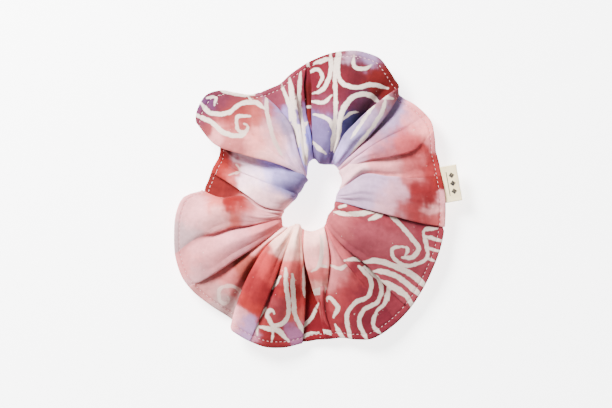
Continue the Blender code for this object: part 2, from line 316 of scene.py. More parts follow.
@dataclass
class ClothShape:
    """The gathered tube: where each point of the cloth lies."""

    centre: tuple[float, float] = (-2.5, 0.7)
    closing: Fold = CLOSING_FOLD
    folds: tuple[Fold, ...] = FOLDS
    start: float = CLOSING_FOLD.middle
    inner_level: float = 10.2
    top_height: float = 11.0
    under_height: float = 9.9
    round_share: float = 0.20
    edge_height: float = 0.36
    floor: float = 0.45
    tuck_turn: float = 10.0
    tuck_length: float = 12.0
    sag: float = 2.6
    hidden_drop: float = 2.0
    slack: Ripple = field(default_factory=lambda: Ripple(26.0, 0.4, 8, 11))
    gather: Ripple = field(default_factory=lambda: Ripple(7.5, 0.35, 10, 23))

    def all_folds(self) -> list[Fold]:
        """Every fold by rising angle: the rolled end, the folds, and the end that is tucked under it."""
        once_round = tuple(angle + 360.0 for angle in self.closing.line)
        near_end = Fold(once_round, CREASE, NONE, NONE, self.closing.valley)
        tucked = tuple(angle + self.tuck_turn for angle in once_round)
        return [self.closing, *self.folds, near_end, Fold(tucked, CREASE, NONE, NONE, self.closing.valley)]

    def profile(self, shares: Array, height: float) -> Array:
        """Half the tube's thickness across the ring.

        Args:
            shares: 0 at the opening, 1 at the edge.
            height: the thickness at its fullest.

        Returns:
            Heights above the tube's middle surface.
        """
        rising = np.clip(shares / self.round_share, 0.0, 1.0)
        round_end = np.sqrt(np.clip(1.0 - (1.0 - rising) ** 2, 0.0, 1.0))
        falling = smooth_curve(
            (0.20, 0.35, 0.50, 0.65, 0.80, 0.91, 1.00), (1.0, 0.99, 0.87, 0.62, 0.30, 0.085, 0.0), shares
        )
        body = height - self.edge_height
        shaped = np.where(shares < self.round_share, round_end, falling) * body
        return shaped + self.edge_height * round_end

    def place(self, along: Array, shares: Array, under: bool) -> Array:
        """Positions of a grid of points.

        Args:
            along: angles that name the columns.
            shares: shares that name the rows.
            under: True for the underside.

        Returns:
            Positions, columns by rows by three.
        """
        u = np.asarray(along, float)[:, None]
        v = np.concatenate([[0.0], np.asarray(shares, float), [1.0]])[None, :]
        folds = self.all_folds()
        names = np.array([fold.middle for fold in folds])
        rough = ring_curve(OPENING, names)[:, None] * (1 - v) + ring_curve(OUTLINE, names)[:, None] * v
        lines = np.empty(rough.shape)
        for row, fold in enumerate(folds):
            hidden = np.degrees(fold.at(v[0], fold.overlap) / rough[row]) / 2
            lines[row] = fold.at(v[0], fold.line) - fold.over.value * hidden
        lines[-1] = lines[-2] + np.degrees(self.tuck_length / rough[-2])
        behind, angle, ahead = (
            np.stack([np.interp(u[:, 0] + aside, names, lines[:, row]) for row in range(v.size)], axis=1)
            for aside in (-0.5, 0.0, 0.5)
        )
        radius = ring_curve(OPENING, angle) * (1 - v) + ring_curve(OUTLINE, angle) * v
        stretch = np.maximum(np.radians(ahead - behind), 0.004) * radius
        furrow, lift = np.zeros(radius.shape), np.zeros(radius.shape)
        slide = np.zeros(radius.shape)
        tucked = smoothstep((u - names[-2] + 2.0) / 3.5) * np.ones_like(v)
        reach = 1.1 + 9.5 * v
        fade = 2.6 + 11.0 * v
        flange = smoothstep((v - 0.55) / 0.35)
        for row, fold in enumerate(folds):
            turn = (u - fold.middle) / fold.half_width
            far = np.abs(u - fold.middle) * stretch
            furrow += (fold.at(v, fold.valley) * np.exp(-((far / reach) ** 1.3))) ** 3
            if fold.over is Over.CREASE:
                continue
            overlap = fold.at(v, fold.overlap)
            inside = np.clip(turn, -1.0, 1.0)
            lean = -inside * (1 - inside ** 2) ** 2 * LEAN_GAIN
            held = smoothstep(overlap / 0.7)
            moved = held * (overlap / 2 + LEAN_AT * fold.half_width * stretch) * lean
            top_share = 1.0 if not under else 0.25 + 0.75 * flange
            step = fold.at(v, fold.step) * (inside * (3 - inside ** 2) / 2) * np.exp(-far / fade)
            side = turn * fold.over.value
            hidden = smoothstep(side / 0.6) * (1.0 - smoothstep((side - 0.9) / 1.1))
            lift -= top_share * hidden * np.minimum(self.hidden_drop, 0.4 * overlap)
            if row == 0:
                slide += moved
                lift += 0.0 if under else step
            else:
                slide += moved * top_share
                lift -= fold.over.value * step * top_share
        furrow = np.cbrt(furrow)
        ends = [0, -1]
        where = self.settled(u, v[:, ends], folds, names, angle[:, ends], slide[:, ends], radius[:, ends])
        radius = ring_curve(OPENING, where[:, :1]) * (1 - v) + ring_curve(OUTLINE, where[:, 1:]) * v
        before = np.abs(u - names[-2]) * stretch
        lift -= self.closing.at(v, self.closing.step) * np.exp(-before / fade) * (0.3 if under else 1.0)
        rise = ring_curve(EDGE_LEVEL, where[:, 1:]) - self.inner_level
        level = self.inner_level + rise * smoothstep(v * 1.02)
        level = level - self.sag * furrow * smoothstep((v - 0.3) / 0.3) * (1 - smoothstep((v - 0.84) / 0.16))
        turned = np.radians(angle)
        further = np.clip((u - names[-2]) / self.tuck_turn, 0.0, 1.0)
        inward = (3.2 + 2.8 * further) * (1 - v) ** 2 - 1.2 * v ** 3
        radius = radius + 1.1 * furrow * np.exp(-v / 0.06) + tucked * inward
        x = self.centre[0] + radius * np.cos(turned) - slide * np.sin(turned)
        y = self.centre[1] + radius * np.sin(turned) + slide * np.cos(turned)
        soft = self.slack.read(radius * np.cos(turned), radius * np.sin(turned))
        small = self.gather.read(u * 1.05 + 4.0 * v, 26.0 * v) * np.exp(-v / 0.24) * smoothstep(v / 0.05)
        half = self.profile(v, self.under_height if under else self.top_height) * np.ones_like(radius)
        half = half * (1.0 - np.clip(furrow, 0.0, 0.86)) * (1.0 - 0.3 * tucked) + 0.42 * small
        half = half + 0.26 * self.over_label(angle, v)
        half = half - 0.24 * stitch_groove(v, 0.5)
        wave = 0.45 * soft * smoothstep(v / 0.3)
        if under:
            lifted = lift * (0.3 + 0.7 * flange)
            z = kept_above(level - half + lifted + 0.6 * wave, self.floor)
            lowest = level + lifted + 0.6 * wave - self.edge_height
            z = np.where(v > 0.985, np.maximum(z, lowest), z)
        else:
            z = kept_above(level + half + lift + wave, self.floor + 2 * self.edge_height)
        return np.stack([x, y, z], axis=-1)[:, 1:-1]

    def settled(self, u: Array, v: Array, folds: Sequence[Fold], names: Array, angle: Array, slide: Array,
                radius: Array) -> Array:
        """The angle at which each point reads the outline, so that it never changes within a fold.

        Args:
            u: names of the columns.
            v: shares of the rows.
            folds: every fold.
            names: the folds' own names.
            angle: the points' angles before the cloth turns over.
            slide: how far the turned cloth moves along the ring.
            radius: rough radii.

        Returns:
            Angles in degrees.
        """
        where = angle
        for row, fold in enumerate(folds):
            if fold.over is Over.CREASE:
                continue
            low, high = names[max(row - 1, 0)], names[min(row + 1, len(names) - 1)]
            near = (u > low - 1e-6) & (u < high)
            side = (u - fold.middle) / fold.half_width * fold.over.value
            line = fold.at(v, fold.line)
            moved = where + np.degrees(slide / radius) * (np.abs(side) < 1.0)
            clear = line + fold.over.value * fold.clear
            if fold.over is Over.CLOCKWISE:
                upper, lower = np.minimum(moved, line), np.maximum(where, clear)
            else:
                upper, lower = np.maximum(moved, line), np.minimum(where, clear)
            share = smoothstep((side + 0.25) / 0.5)
            where = np.where(near, upper * (1 - share) + lower * share, where)
        return where

    def over_label(self, angle: Array, shares: Array) -> Array:
        """How much the label's tails spread the two layers, 0 to 1."""
        along = smoothstep((angle + 4.5) / 3.0) * smoothstep((16.5 - angle) / 3.0)
        return along * smoothstep((shares - 0.86) / 0.08)


@dataclass
class Sectors:
    """The bodies round the ring, and how the cloth is shared among them."""

    count: int = 12
    first_middle: float = 5.0
    label_end: float = 15.5
    blend_radius: float = 0.04

    def middle(self, sector: int) -> float:
        """The angle of a sector's middle, sector 1 first."""
        return self.first_middle + (sector - 1) * 360.0 / self.count

    def body(self, sector: int) -> str:
        """The name of a sector's body."""
        return f"sector_{sector:02d}"

    def spans(self, start: float, end: float) -> Iterator[tuple[str, int, int, float, float]]:
        """The lengths of cloth, each between the middles of two sectors, and the two ends.

        Args:
            start: angle of the cloth's first end.
            end: angle of its last end.

        Yields:
            A name ending, the two sectors, and the two angles.
        """
        yield "01_end", 1, 1, start, self.middle(1)
        for sector in range(1, self.count):
            after = sector + 1
            yield f"{sector:02d}_{after:02d}", sector, after, self.middle(sector), self.middle(after)
        yield f"{self.count:02d}_end", self.count, self.count, self.middle(self.count), end

    def bend(self, piece: bpy.types.Object, first: int, second: int, angles: Array) -> None:
        """Makes a piece ride on one sector; a piece between two neighbours is only baked in place.

        Args:
            piece: the finished piece.
            first: the sector at its start.
            second: the sector at its end.
            angles: each vertex's angle along the ring; not used.
        """
        if first == second:
            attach(piece, self.body(first))
            return
        from_angle, to_angle = self.middle(first), self.middle(second)
        turns = [math.radians(angle) for angle in (from_angle, to_angle)]
        ends = [Vector((math.cos(turn), math.sin(turn), 0.0)) * self.blend_radius for turn in turns]
        self.body(first)
        self.body(second)
        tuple(ends[0])
        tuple(ends[1])
        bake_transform(piece)


def new_mesh(name: str, points: Array, faces: Sequence[Sequence[int]]) -> bpy.types.Object:
    """A mesh object at the origin.

    Args:
        name: the piece's name.
        points: positions in millimetres.
        faces: vertex numbers of each face.

    Returns:
        The object, smooth shaded and linked to the scene.
    """
    mesh = bpy.data.meshes.new(name)
    mesh.from_pydata((np.asarray(points, float) * MM).tolist(), [], [list(face) for face in faces])
    mesh.shade_smooth()
    piece = bpy.data.objects.new(name, mesh)
    bpy.context.scene.collection.objects.link(piece)
    return piece


def solidify(piece: bpy.types.Object, name: str, thickness: float, offset: float) -> None:
    """Gives a sheet its thickness, in millimetres: inwards at -1, or evenly to both sides at 0."""
    bpy.ops.object.select_all(action="DESELECT")
    bpy.context.view_layer.objects.active = piece
    piece.select_set(True)
    wall = piece.modifiers.new(name, "SOLIDIFY")
    wall.thickness, wall.offset = thickness * MM, offset
    bpy.ops.object.modifier_apply(modifier=wall.name)


def grid_faces(columns: int, rows: int, closed_rows: bool) -> Array:
    """The quads of a grid whose points are numbered row by row within each column.

    Args:
        columns: number of columns.
        rows: number of rows.
        closed_rows: True if the last row joins the first.

    Returns:
        Vertex numbers, four a face.
    """
    steps = rows if closed_rows else rows - 1
    column, row = np.meshgrid(np.arange(columns - 1), np.arange(steps), indexing="ij")
    after = (row + 1) % rows
    here, there = column * rows, (column + 1) * rows
    return np.stack([here + row, there + row, there + after, here + after], axis=-1).reshape(-1, 4)


# ---------------------------------------------------------------- the print


@dataclass(frozen=True)
class Dye:
    """A pool of dye, whose colour fades into the pools round it."""

    angle: float
    radius: float
    colour: Colour
    spread: float = 7.0


@dataclass(frozen=True)
class Wax:
    """A line drawn in wax, which keeps the cloth pale; it may end in a curl.

    Attributes:
        route: points that the line flows through, as angle and radius.
        width: the line's width.
        strength: 1 where the line stayed clear, less where the dye crept under it.
        curl: radius of the curl at the end, positive to the left, or 0.
        turns: how far the curl goes round.
    """

    route: tuple[Polar, ...]
    width: float = 2.3
    strength: float = 1.0
    curl: float = 0.0
    turns: float = 1.3

    def path(self) -> Array:
        """Points close together along the line, about the ring's centre."""
        spots = np.array([
            (radius * math.cos(math.radians(angle)), radius * math.sin(math.radians(angle)))
            for angle, radius in self.route
        ])
        spots = np.concatenate([2 * spots[:1] - spots[1:2], spots, 2 * spots[-1:] - spots[-2:-1]])
        line = []
        for a, b, c, d in zip(spots, spots[1:], spots[2:], spots[3:]):
            for t in np.arange(0.0, 1.0, 0.1):
                line.append(0.5 * (
                    2 * b + (c - a) * t + (2 * a - 5 * b + 4 * c - d) * t * t + (3 * b - a - 3 * c + d) * t ** 3
                ))
        line.append(spots[-2])
        if self.curl:
            end, ahead = line[-1], line[-1] - line[-3]
            side = np.array([-ahead[1], ahead[0]]) / np.linalg.norm(ahead) * math.copysign(1.0, self.curl)
            middle = end + side * abs(self.curl)
            for share in np.linspace(0.03, 1.0, 34):
                turn = math.copysign(2 * math.pi * self.turns * share, self.curl)
                arm = (end - middle) * (1 - 0.5 * share)
                line.append(middle + np.array([
                    arm[0] * math.cos(turn) - arm[1] * math.sin(turn),
                    arm[0] * math.sin(turn) + arm[1] * math.cos(turn),
                ]))
        return np.array(line)

    def inside(self, points: Array) -> Array:
        """How far each point lies inside the line's edge; negative outside it."""
        line = self.path()
        start, run = line[:-1], np.diff(line, axis=0)
        long = np.linalg.norm(run, axis=1)
        before = np.cumsum(long) - long
        gap = points[:, None, :] - start[None, :, :]
        share = np.clip((gap * run).sum(-1) / np.maximum(long * long, 1e-9), 0.0, 1.0)
        away = np.linalg.norm(gap - share[..., None] * run[None, :, :], axis=-1)
        at = before + share * long
        from_end = np.minimum(at, before[-1] + long[-1] - at)
        half = self.width / 2 * (0.4 + 0.5 * smoothstep(from_end / 4.5))
        return (half - away).max(axis=1)


@dataclass(frozen=True)
class Panel:
    """The print on the cloth from one fold to the next."""

    start: float
    dyes: tuple[Dye, ...]
    wax: tuple[Wax, ...] = ()


LILAC, INDIGO, CRIMSON = (144, 122, 174), (80, 76, 126), (142, 52, 64)
BLUSH, BRICK, DEEP, MIST = (224, 192, 192), (176, 60, 58), (124, 40, 44), (214, 200, 214)

LOWER_LINES = (
    Wax(((303, 42), (304.5, 52), (299, 58), (291, 58.5), (285.5, 64), (284.5, 77)), 2.3),
    Wax(((306, 44), (308, 56), (302, 63), (294, 63.5), (290, 69), (290.5, 79)), 2.3),
    Wax(((309, 61), (304, 66), (299, 67.5), (295, 73), (296.5, 80)), 2.1),
    Wax(((313, 71), (310.5, 61), (306, 66)), 2.0),
)
PANELS = (
    Panel(-12.5, (
        Dye(-8, 22, MIST, 8), Dye(4, 24, (206, 190, 204), 9), Dye(12, 34, MIST, 8),
        Dye(-9, 36, (220, 196, 202), 7),
        Dye(4, 40, (218, 192, 200), 7), Dye(-6, 47, (200, 106, 110), 6), Dye(4, 56, (176, 62, 66), 8.5),
        Dye(-8, 54, (196, 84, 88), 5), Dye(8, 64, BRICK, 5), Dye(-5.5, 62, (228, 202, 202), 4),
        Dye(-10, 63, (206, 110, 112), 4), Dye(0, 69, (222, 190, 194), 3), Dye(-9, 70, BLUSH, 4),
        Dye(12, 52, (214, 150, 154), 5), Dye(13, 62, (190, 72, 74), 4.5),
    )),
    Panel(15.7, (
        Dye(19, 24, (228, 212, 214), 7), Dye(20, 40, (224, 190, 192), 7), Dye(21, 54, (214, 136, 138), 7),
        Dye(23, 61, (190, 74, 76), 4.5), Dye(16.5, 62, (192, 74, 76), 4.5), Dye(25, 69, (218, 166, 170), 3.5),
    )),
    Panel(28.5, (
        Dye(32, 55, (212, 122, 128), 8), Dye(27, 62, (196, 84, 88), 4), Dye(36, 42, (214, 154, 162), 7),
        Dye(43, 47, (182, 160, 186), 7),
        Dye(45.5, 61, (196, 178, 202), 7), Dye(39, 67, (226, 186, 188), 6), Dye(31, 69, (226, 184, 182), 6),
        Dye(40, 25, (226, 208, 214), 7), Dye(45, 33, (210, 184, 200), 7),
    )),
    Panel(48.5, (
        Dye(53, 25, (206, 196, 218), 7), Dye(54, 40, (186, 172, 200), 7), Dye(53, 52, (196, 176, 196), 6),
        Dye(56, 62, (196, 150, 162), 5), Dye(55, 70, (176, 90, 100), 5),
    ), (
        Wax(((50, 30), (50.5, 44), (51.5, 56), (54.5, 64)), 1.9), Wax(((58, 36), (57.5, 48), (57, 59)), 1.8),
        Wax(((51.5, 66), (55, 64), (58, 61)), 3.0), Wax(((54, 71), (56, 66)), 2.2),
    )),
    Panel(60.5, (
        Dye(65, 46, INDIGO, 6), Dye(63.5, 37, (112, 106, 168), 5), Dye(64, 55, (112, 66, 92), 5),
        Dye(71, 56, (118, 50, 62), 7), Dye(64, 68, (146, 52, 52), 6), Dye(72, 68, (114, 44, 54), 7),
        Dye(69, 76, (190, 166, 196), 4), Dye(76, 77, (196, 172, 188), 3.5), Dye(82, 62, CRIMSON, 8),
        Dye(86, 72, CRIMSON, 7), Dye(78, 48, (150, 74, 98), 6), Dye(86, 48, (152, 74, 96), 5),
        Dye(82, 36, LILAC, 8), Dye(71, 32, (168, 152, 196), 6), Dye(88, 28, LILAC, 6),
    ), (
        Wax(((80, 79), (79.5, 68), (76.5, 61.5), (69.5, 61), (63, 66), (56, 69)), 2.4),
        Wax(((66, 26), (70, 37), (72, 47), (68.5, 56.5), (62, 60.5), (55, 60)), 2.7),
        Wax(((70, 26), (75, 42), (77.5, 52), (80, 63), (81, 77)), 2.2),
        Wax(((74.5, 77), (73, 71.5), (69, 71.5), (66.5, 75.5)), 2.0, 0.85),
        Wax(((83.5, 77), (82.5, 66), (85, 57), (90.5, 54.5)), 2.2), Wax(((83, 73.5), (90, 70)), 2.4),
        Wax(((93, 65), (88.5, 67), (86, 63), (88, 58)), 2.0), Wax(((80, 54), (84, 50), (92, 50.5)), 2.1),
        Wax(((74, 36), (80, 41.5), (90, 43.5)), 2.0, 0.9), Wax(((76, 24), (83, 25.5), (91, 29)), 2.4, 0.9),
        Wax(((63, 50), (66.5, 48), (70, 43)), 1.8, 0.7),
    )),
    Panel(91.6, (Dye(93, 52, DEEP, 9), Dye(93, 30, (150, 110, 160), 5), Dye(93, 68, CRIMSON, 6)), (
        Wax(((88, 47.5), (98, 48)), 1.4, 0.8), Wax(((86, 71), (93, 69.5), (100, 65.5)), 2.4),
    )),
    Panel(95.2, (
        Dye(98, 56, (166, 66, 82), 6), Dye(104, 56, (160, 78, 96), 6), Dye(97, 44, (164, 130, 184), 5),
        Dye(103, 42, (190, 170, 206), 5), Dye(100, 32, (170, 160, 212), 6), Dye(104, 23, (206, 198, 222), 6),
    ), (
        Wax(((96, 66), (98.5, 54), (99.5, 44), (98, 34)), 2.2),
        Wax(((101.5, 64), (102.5, 52), (104.5, 40), (106, 28)), 2.6),
        Wax(((95, 39.5), (100, 37.5), (107, 40)), 2.6), Wax(((101, 38), (101, 26), (104, 18)), 3.2),
        Wax(((106, 62), (105, 50), (107, 42)), 1.9), Wax(((98.5, 54), (101.5, 49), (99.5, 45)), 1.7),
    )),
    Panel(107.5, (
        Dye(112, 26, (214, 202, 218), 7), Dye(112, 40, (186, 168, 192), 7), Dye(112, 52, (178, 162, 198), 6),
        Dye(114, 61, (150, 120, 160), 4), Dye(118, 56, (186, 96, 100), 5), Dye(124, 52, (200, 112, 104), 7),
        Dye(122, 40, (220, 194, 196), 6), Dye(128, 60, (178, 74, 72), 7), Dye(134, 54, (184, 84, 84), 6),
        Dye(126, 66, (152, 70, 84), 6), Dye(134, 71, (134, 66, 84), 7), Dye(139, 73, (124, 84, 132), 4),
        Dye(143, 70, (150, 72, 92), 5), Dye(142, 62, (196, 104, 104), 5), Dye(146, 68, (180, 88, 92), 4),
        Dye(141, 52, (212, 150, 148), 5), Dye(134, 42, (226, 190, 186), 6), Dye(131, 30, (230, 206, 204), 7),
        Dye(145, 60, BLUSH, 4), Dye(124, 26, (222, 208, 214), 7),
    ), (
        Wax(((140, 77), (140.5, 69), (135, 62.5), (128.5, 62), (122, 58.5), (119, 53)), 2.5),
        Wax(((120, 62), (126, 66.5), (131, 73.5)), 2.3), Wax(((123, 64), (122.5, 58)), 2.2),
        Wax(((145, 76), (143.5, 66), (144, 57), (139.5, 49.5), (134, 49.5)), 2.5),
        Wax(((128, 53.5), (133.5, 57.5), (137.5, 54)), 2.0, 0.85, 3.4, 0.7),
        Wax(((115, 59), (119, 50), (124, 38), (127, 28)), 2.2, 0.7),
        Wax(((137, 76), (134.5, 73), (137, 70.5)), 1.8),
    )),
    Panel(147.5, (
        Dye(150, 40, (222, 212, 216), 6), Dye(152, 28, (206, 200, 222), 7), Dye(160, 18, (172, 160, 198), 7),
        Dye(152, 52, (150, 40, 42), 5), Dye(160, 52, (192, 70, 66), 6), Dye(167, 55, BRICK, 5),
        Dye(166, 44, (200, 96, 90), 4.5), Dye(158, 43, (188, 70, 64), 4), Dye(158, 34, (226, 216, 222), 6),
        Dye(168, 32, (230, 218, 218), 7), Dye(172, 44, (206, 120, 114), 4), Dye(178, 26, (224, 206, 208), 7),
        Dye(174, 52, (188, 72, 68), 4.5), Dye(184, 22, (222, 204, 206), 6),
    ), (Wax(((165, 46), (160, 41), (156.5, 44)), 1.5, 0.5),)),
    Panel(176.8, (
        Dye(179, 52, (164, 62, 60), 8), Dye(176, 46, (130, 34, 36), 4), Dye(185, 35, (200, 130, 128), 4),
        Dye(190, 28, (220, 194, 196), 6), Dye(200, 20, (222, 198, 200), 7),
    )),
    Panel(181.0, (
        Dye(183, 42, (170, 40, 46), 5), Dye(188, 36, (200, 92, 88), 5), Dye(196, 33, (220, 190, 192), 6),
        Dye(183, 52, (212, 128, 118), 4), Dye(194, 43, (206, 118, 108), 4.5), Dye(189, 50, (218, 182, 180), 5),
        Dye(196, 54, (222, 196, 196), 7), Dye(186, 64, (222, 192, 194), 8), Dye(195, 70, (208, 190, 192), 7),
    )),
    Panel(199.3, (
        Dye(207, 62, (220, 184, 186), 10), Dye(204, 48, (222, 190, 194), 8), Dye(208, 34, (218, 170, 174), 6),
        Dye(212, 26, (214, 150, 154), 5), Dye(207, 73, (220, 178, 178), 5), Dye(214, 70, (216, 190, 192), 6),
    )),
    Panel(218.0, (
        # The dark red pool at 223 degrees and 50 mm is partly the print and partly painted shade beside the
        # fold at 218 degrees.
        Dye(223, 50, (190, 100, 88), 6), Dye(221, 38, (224, 184, 180), 6), Dye(222, 62, (214, 150, 148), 6),
        Dye(227, 72, (206, 186, 184), 6), Dye(221, 73, (214, 176, 174), 6), Dye(226, 60, (196, 110, 108), 5),
        Dye(224, 28, (230, 214, 212), 6),
    ), (Wax(((236, 65), (231, 62), (226.5, 63), (224, 68), (226.5, 72)), 1.9, 0.42, 3.2, 0.62),)),
    Panel(229.0, (
        Dye(236, 24, (230, 216, 210), 7), Dye(236, 31, (224, 200, 196), 4), Dye(238, 42, (204, 84, 84), 7),
        Dye(237, 55, (176, 58, 62), 8), Dye(240, 65, (196, 72, 68), 5), Dye(237, 74, (222, 190, 194), 5),
        Dye(242, 76, (204, 178, 204), 4),
    )),
    Panel(244.5, (
        Dye(253, 24, (232, 218, 212), 7), Dye(250, 31, (222, 190, 184), 4), Dye(255, 40, (216, 132, 128), 6),
        Dye(250, 50, (158, 48, 56), 6), Dye(258, 50, (200, 80, 78), 6), Dye(254, 62, (184, 82, 88), 7),
        Dye(247, 68, (190, 78, 78), 4.5), Dye(260, 62, (208, 110, 100), 4), Dye(262, 70, (190, 130, 170), 4),
        Dye(254, 76, (172, 62, 66), 5), Dye(245, 75, (206, 160, 182), 3.5),
    ), (
        Wax(((248, 39), (252.5, 48), (256.5, 57), (257, 65), (252.5, 69.5), (248.5, 66)), 2.2, 1.0, -2.6, 0.55),
        Wax(((254, 41), (258.5, 54), (261, 62), (266, 71)), 2.5), Wax(((247, 44), (245.5, 52)), 2.0),
        Wax(((246.5, 62), (245, 70), (247.5, 77)), 2.0),
        Wax(((246, 73), (251, 72), (255, 71.5), (260, 76)), 2.5),
        Wax(((253, 73), (253.5, 78)), 2.0), Wax(((261.5, 32), (263, 45), (264.5, 52)), 1.7, 0.9),
    )),
    Panel(264.3, (
        Dye(267, 46, (156, 44, 48), 9), Dye(267, 66, (156, 50, 58), 7), Dye(262, 28, (214, 150, 146), 5),
    ), (
        Wax(((263, 70), (268.5, 63), (272, 56)), 2.2), Wax(((264, 75), (268, 71), (272, 70.5)), 2.2),
    )),
    Panel(268.5, (
        Dye(272, 66, (150, 46, 56), 8), Dye(276, 58, (192, 92, 94), 4), Dye(277, 46, (226, 200, 194), 4),
        Dye(275, 40, (212, 124, 122), 4), Dye(276, 30, (226, 196, 194), 6), Dye(273, 52, (200, 100, 100), 4),
        Dye(276, 22, (232, 214, 210), 5),
    ), (
        Wax(((264, 71), (268.5, 63), (272.5, 55)), 2.2),
        Wax(((265, 75), (270, 70), (276, 70.5), (279, 74)), 2.2),
        Wax(((268, 38), (274, 35), (279, 26), (280, 20)), 2.2, 0.75), Wax(((274.5, 35), (280, 36)), 2.4, 0.8),
        Wax(((268, 50), (273, 48.5), (280, 48)), 4.2, 0.8),
    )),
    Panel(278.8, (
        Dye(288, 26, (216, 160, 164), 7), Dye(287, 40, (214, 156, 158), 7), Dye(294, 46, (188, 78, 84), 6),
        Dye(286, 55, (192, 80, 86), 6), Dye(294, 58, (168, 66, 78), 7), Dye(286, 68, (166, 62, 74), 8),
        Dye(296, 72, (158, 62, 76), 8), Dye(279, 66, (180, 70, 76), 5),
    ), LOWER_LINES + (
        Wax(((284, 36), (291, 39), (298, 38)), 2.1, 0.85),
        Wax(((279.5, 63), (282.5, 58), (280, 53)), 2.1, 1.0, 1.8, 0.5),
        Wax(((279.5, 67), (281, 72), (283, 77)), 2.3),
    )),
    Panel(299.0, (
        Dye(301, 30, (206, 120, 126), 6), Dye(304, 40, (168, 66, 76), 5), Dye(301, 51, (186, 76, 84), 4),
        Dye(304, 58, (168, 66, 78), 7),
        Dye(304, 72, (168, 70, 82), 8),
    ), LOWER_LINES + (Wax(((296, 36), (302, 37.5), (307, 41)), 2.0, 0.9),)),
    Panel(308.4, (
        Dye(340, 20, (180, 78, 90), 6), Dye(318, 20, (200, 116, 122), 6), Dye(325, 34, (188, 96, 108), 8),
        Dye(330, 48, (194, 104, 116), 11), Dye(344, 40, (182, 78, 90), 7), Dye(345, 62, (182, 78, 92), 8),
        Dye(318, 52, (184, 86, 98), 8), Dye(314, 68, (186, 90, 102), 9), Dye(330, 68, (182, 84, 96), 9),
    ), LOWER_LINES + (
        Wax(((325, 13), (334, 19), (342, 26), (350, 35)), 2.6), Wax(((340, 14), (346, 17)), 2.2),
        Wax(((350, 38), (343, 33.5), (338.5, 30.5)), 3.0),
        Wax(((352, 36), (344, 45), (337.5, 55), (334, 60.5), (329, 59.5), (326, 55)), 2.5),
        Wax(((343, 59), (337, 63.5), (332.5, 66.5), (328, 64), (323.5, 59), (323, 52), (327, 48.5),
             (331, 51.5)), 2.0),
        Wax(((331, 51.5), (331.5, 55), (327.5, 56)), 2.0),
        Wax(((341.5, 71), (341, 60.5)), 2.1), Wax(((337, 71), (336, 64)), 2.1),
        Wax(((332.5, 71.5), (332, 66)), 2.1), Wax(((346, 66), (344, 60), (341, 60.5)), 2.2),
        Wax(((308, 42), (315, 46), (320, 55), (322, 66), (321.5, 76)), 3.2),
        Wax(((309, 49), (313, 52), (317, 61), (317.5, 77)), 3.0),
        Wax(((309, 55), (311.5, 60), (313.5, 68), (312, 80)), 2.4),
    )),
)


@dataclass
class WaxPrint:
    """The print worked out at every point of the cloth."""

    panels: tuple[Panel, ...] = PANELS

    def read(self, along: Array, points: Array) -> tuple[Array, Array, Array]:
        """The print at points of the cloth.

        Args:
            along: the angle that names each point's column.
            points: each point's place about the ring's centre.

        Returns:
            Dye colours, depth inside a wax line, and that line's strength.
        """
        colours = np.ones((len(along), 4))
        depth, strength = np.full(len(along), -9.0), np.ones(len(along))
        wide, fine = Ripple(11.0, 0.5, 9, 31), Ripple(3.6, 0.5, 9, 37)
        starts = [panel.start for panel in self.panels]
        owner = np.clip(np.searchsorted(starts, along, side="right") - 1, 0, len(starts) - 1)
        for row, panel in enumerate(self.panels):
            mine = np.flatnonzero(owner == row)
            if not len(mine):
                continue
            spots = points[mine]
            wet = spots + np.stack([
                1.7 * wide.read(*spots.T) + 0.6 * fine.read(*spots.T),
                1.7 * wide.read(spots[:, 1] + 50.0, spots[:, 0])
                + 0.6 * fine.read(spots[:, 1], spots[:, 0] - 50.0),
            ], axis=1)
            total, weight = np.zeros((len(mine), 3)), np.zeros((len(mine), 1))
            for dye in panel.dyes:
                turn = math.radians(dye.angle)
                middle = np.array([math.cos(turn), math.sin(turn)]) * dye.radius
                away = np.linalg.norm(wet - middle, axis=1, keepdims=True) / dye.spread
                share = np.exp(-1.5 * away ** 2) + 1e-6 / (1 + away ** 4)
                total += share * np.array([dyed(value) for value in dye.colour])
                weight += share
            colours[mine, :3] = total / weight
            for line in panel.wax:
                inside = line.inside(spots)
                better = inside > depth[mine]
                depth[mine] = np.where(better, inside, depth[mine])
                strength[mine] = np.where(better, line.strength, strength[mine])
        return colours, depth, strength


def linear(value: float) -> float:
    """One channel of a colour picked on a screen, 0 to 255, as light."""
    share = value / 255.0
    return share / 12.92 if share <= 0.04045 else ((share + 0.055) / 1.055) ** 2.4


def dyed(value: float) -> float:
    """One channel of the dye that looks like a screen colour under the studio's bright light."""
    light = linear(value)
    return min(1.0, max(0.004, 0.42 * light - 0.008 + 2.6 * light ** 6))


def rgba(colour: Colour) -> tuple[float, float, float, float]:
    """A screen colour as light, with full cover."""
    return (*(linear(value) for value in colour), 1.0)


# ---------------------------------------------------------------- finishes


